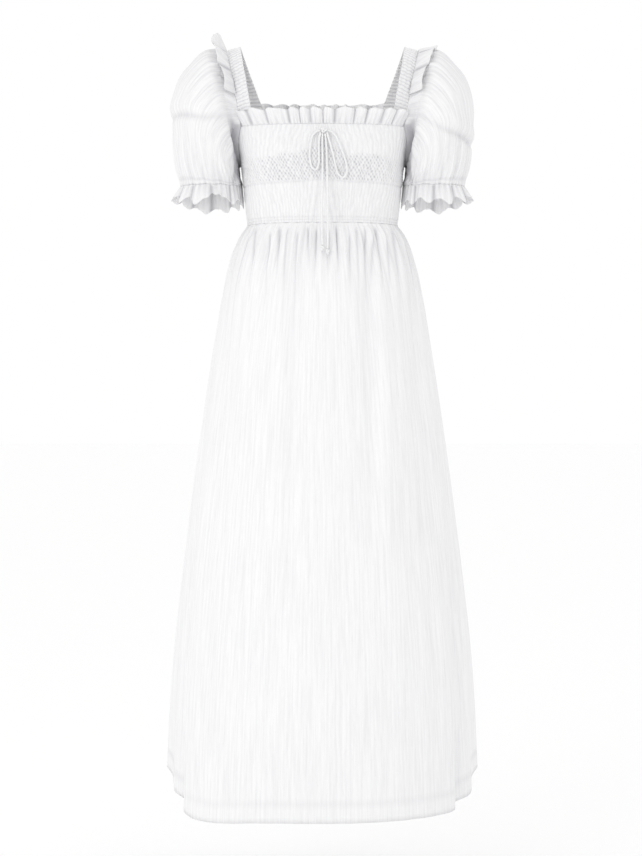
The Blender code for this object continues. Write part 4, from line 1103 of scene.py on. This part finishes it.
def build_cord(name, node, route):
    """A rouleau cord along its route."""
    sizes = bpy.context.scene.dress_sizes
    line, length = smooth_route(route, ROUTE_POINTS)
    curve = bpy.data.curves.new(name, "CURVE")
    curve.dimensions = "3D"
    curve.bevel_depth = sizes.tie / 2
    curve.bevel_resolution = 4
    curve.use_fill_caps = True
    spline = curve.splines.new("POLY")
    spline.points.add(len(line) - 1)
    spline.points.foreach_set("co", np.hstack([line, np.ones((len(line), 1))]).ravel())
    spline.use_smooth = True
    material = rouleau(f"{name} rouleau")
    cord = add_piece(name, curve, material, [node])


def build_knot(name, node, centre, size, tube):
    """An overhand knot: a round tube along a trefoil line, pressed into the knot's size.

    The line is (sin t + 2 sin 2t, cos t - 2 cos 2t, -sin 3t), and both ways round the tube close up.
    """
    t = np.linspace(0, 2 * math.pi, 96, endpoint=False)
    line = np.stack([np.sin(t) + 2 * np.sin(2 * t), -np.sin(3 * t), np.cos(t) - 2 * np.cos(2 * t)], axis=1)
    half = np.abs(line).max(axis=0)
    room = np.array(size) / 2 - tube
    line = line / half * room + np.array(centre)
    along = unit(np.roll(line, -1, axis=0) - np.roll(line, 1, axis=0))
    side = unit(np.cross(along, np.array([0.0, 1.0, 0.0])))
    up = np.cross(side, along)
    a = np.linspace(0, 2 * math.pi, 12, endpoint=False)[None, :, None]
    away = side[:, None] * np.cos(a) + up[:, None] * np.sin(a)
    grid = line[:, None] + away * tube
    material = rouleau(f"{name} rouleau")
    mesh = grid_mesh(name, grid, away, ring=True, ring_rows=True)
    return add_piece(name, mesh, material, [node])


def build_tie():
    """The bow's knot, two loops, and two tails that end in small knots."""
    build_knot("bow_knot", "tie_knot", KNOT, KNOT_SIZE, KNOT_TUBE)
    build_cord("loop_cord_left", "tie_loop_left", LOOP_LEFT)
    build_cord("loop_cord_right", "tie_loop_right", LOOP_RIGHT)
    for side, route in (("left", TAIL_LEFT), ("right", TAIL_RIGHT)):
        x, y, z = route[-1]
        centre = (x, y, z - END_SIZE[2] / 2 - SEAM)
        end = build_knot(f"end_knot_{side}", f"tie_end_{side}", centre, END_SIZE, END_TUBE)
        build_cord(f"tail_cord_{side}", f"tie_tail_{side}", route)


def build_stage():
    """A pale floor, an even bright surround, two soft lights and the photograph's camera."""
    scene = bpy.context.scene
    colours = scene.dress_colours
    corners = [(x * FLOOR_REACH, y * FLOOR_REACH, FLOOR) for x, y in ((-1, -1), (1, -1), (1, 1), (-1, 1))]
    mesh = bpy.data.meshes.new("floor")
    mesh.from_pydata(corners, [], [(0, 1, 2, 3)])
    floor = bpy.data.objects.new("floor", mesh)
    shader = Shader("studio floor")
    shader.set("Base Color", (*colours.floor, 1.0))
    shader.set("Roughness", 0.95)
    shader.set("Specular IOR Level", 0.1)
    mesh.materials.append(shader.material)
    scene.collection.objects.link(floor)

    world = bpy.data.worlds.new("studio")
    world.use_nodes = True
    background = world.node_tree.nodes["Background"]
    background.inputs["Color"].default_value = (1.0, 1.0, 1.0, 1.0)
    background.inputs["Strength"].default_value = 1.0
    scene.world = world
    for row in LIGHTS:
        light = bpy.data.lights.new(row.name, "AREA")
        light.energy = row.power
        light.size = row.size
        lamp = bpy.data.objects.new(row.name, light)
        lamp.location = row.place
        look = np.array(LIGHTS_AIM) - np.array(row.place)
        yaw = math.atan2(look[0], look[1])
        pitch = math.atan2(look[2], math.hypot(look[0], look[1]))
        lamp.rotation_euler = (math.pi / 2 + pitch, 0.0, -yaw)
        scene.collection.objects.link(lamp)

    camera = bpy.data.cameras.new("camera")
    camera.sensor_fit = "HORIZONTAL"
    camera.sensor_width = SENSOR
    camera.lens = SENSOR * CAMERA_DISTANCE / (IMAGE_WIDTH * PIXEL)
    camera.shift_y = (HORIZON_ROW - IMAGE_HEIGHT / 2) / IMAGE_WIDTH
    viewer = bpy.data.objects.new("camera", camera)
    viewer.location = (-(MIDDLE_COLUMN - IMAGE_WIDTH / 2) * PIXEL, -CAMERA_DISTANCE, CAMERA_HEIGHT)
    viewer.rotation_euler = (math.pi / 2, 0.0, 0.0)
    scene.collection.objects.link(viewer)
    scene.camera = viewer
    scene.view_settings.view_transform = "Standard"


class DRESS_OT_stage(bpy.types.Operator):
    """Add the floor, the lights and the camera"""

    bl_idname = "dress.stage"
    bl_label = "Stage"

    def execute(self, context):
        build_stage()
        return {"FINISHED"}


class DRESS_OT_tie(bpy.types.Operator):
    """Add the rouleau bow with its knots, loops and tails"""

    bl_idname = "dress.tie"
    bl_label = "Tie"

    def execute(self, context):
        build_tie()
        return {"FINISHED"}


class DRESS_OT_skirt(bpy.types.Operator):
    """Add the two gathered skirt panels with their turned hem"""

    bl_idname = "dress.skirt"
    bl_label = "Skirt"

    def execute(self, context):
        for half in ("front", "back"):
            build_skirt(half)
        return {"FINISHED"}


class DRESS_OT_bodice(bpy.types.Operator):
    """Add the two smocked bodice panels"""

    bl_idname = "dress.bodice"
    bl_label = "Bodice"

    def execute(self, context):
        for half in ("front", "back"):
            build_bodice(half)
        return {"FINISHED"}


class DRESS_OT_straps(bpy.types.Operator):
    """Add the two shirred shoulder straps"""

    bl_idname = "dress.straps"
    bl_label = "Straps"

    def execute(self, context):
        build_straps()
        return {"FINISHED"}


class DRESS_OT_neck_frills(bpy.types.Operator):
    """Add the frills above the front and back neck seams"""

    bl_idname = "dress.neck_frills"
    bl_label = "Neck frills"

    def execute(self, context):
        build_neck_frills()
        return {"FINISHED"}


class DRESS_OT_shoulder_frills(bpy.types.Operator):
    """Add the frills between straps and sleeves"""

    bl_idname = "dress.shoulder_frills"
    bl_label = "Shoulder frills"

    def execute(self, context):
        build_shoulder_frills()
        return {"FINISHED"}


class DRESS_OT_sleeves(bpy.types.Operator):
    """Add the two puff sleeves"""

    bl_idname = "dress.sleeves"
    bl_label = "Sleeves"

    def execute(self, context):
        build_sleeves()
        return {"FINISHED"}


class DRESS_OT_cuff_frills(bpy.types.Operator):
    """Add the frills below the sleeves' elastic"""

    bl_idname = "dress.cuff_frills"
    bl_label = "Cuff frills"

    def execute(self, context):
        build_cuff_frills()
        return {"FINISHED"}


class DRESS_PT_panel(bpy.types.Panel):
    """The dress's sizes, colours and pieces in the sidebar"""

    bl_idname = "DRESS_PT_panel"
    bl_label = "Peasant dress"
    bl_space_type = "VIEW_3D"
    bl_region_type = "UI"
    bl_category = "Dress"

    def draw(self, context):
        for group in (context.scene.dress_sizes, context.scene.dress_colours):
            for name in group.__annotations__:
                self.layout.prop(group, name)
        for operator in OPERATORS:
            self.layout.operator(operator.bl_idname)


OPERATORS = [
    DRESS_OT_stage,
    DRESS_OT_tie,
    DRESS_OT_skirt,
    DRESS_OT_bodice,
    DRESS_OT_straps,
    DRESS_OT_neck_frills,
    DRESS_OT_shoulder_frills,
    DRESS_OT_sleeves,
    DRESS_OT_cuff_frills,
]
CLASSES = [DressSizes, DressColours, *OPERATORS, DRESS_PT_panel]


def register():
    for kind in CLASSES:
        bpy.utils.register_class(kind)
    bpy.types.Scene.dress_sizes = bpy.props.PointerProperty(type=DressSizes)
    bpy.types.Scene.dress_colours = bpy.props.PointerProperty(type=DressColours)


def unregister():
    del bpy.types.Scene.dress_sizes
    del bpy.types.Scene.dress_colours
    for kind in reversed(CLASSES):
        bpy.utils.unregister_class(kind)


def main():
    register()
    bpy.ops.dress.stage()
    bpy.ops.dress.tie()
    bpy.ops.dress.skirt()
    bpy.ops.dress.bodice()
    bpy.ops.dress.straps()
    bpy.ops.dress.neck_frills()
    bpy.ops.dress.shoulder_frills()
    bpy.ops.dress.sleeves()
    bpy.ops.dress.cuff_frills()


if __name__ == "__main__":
    main()
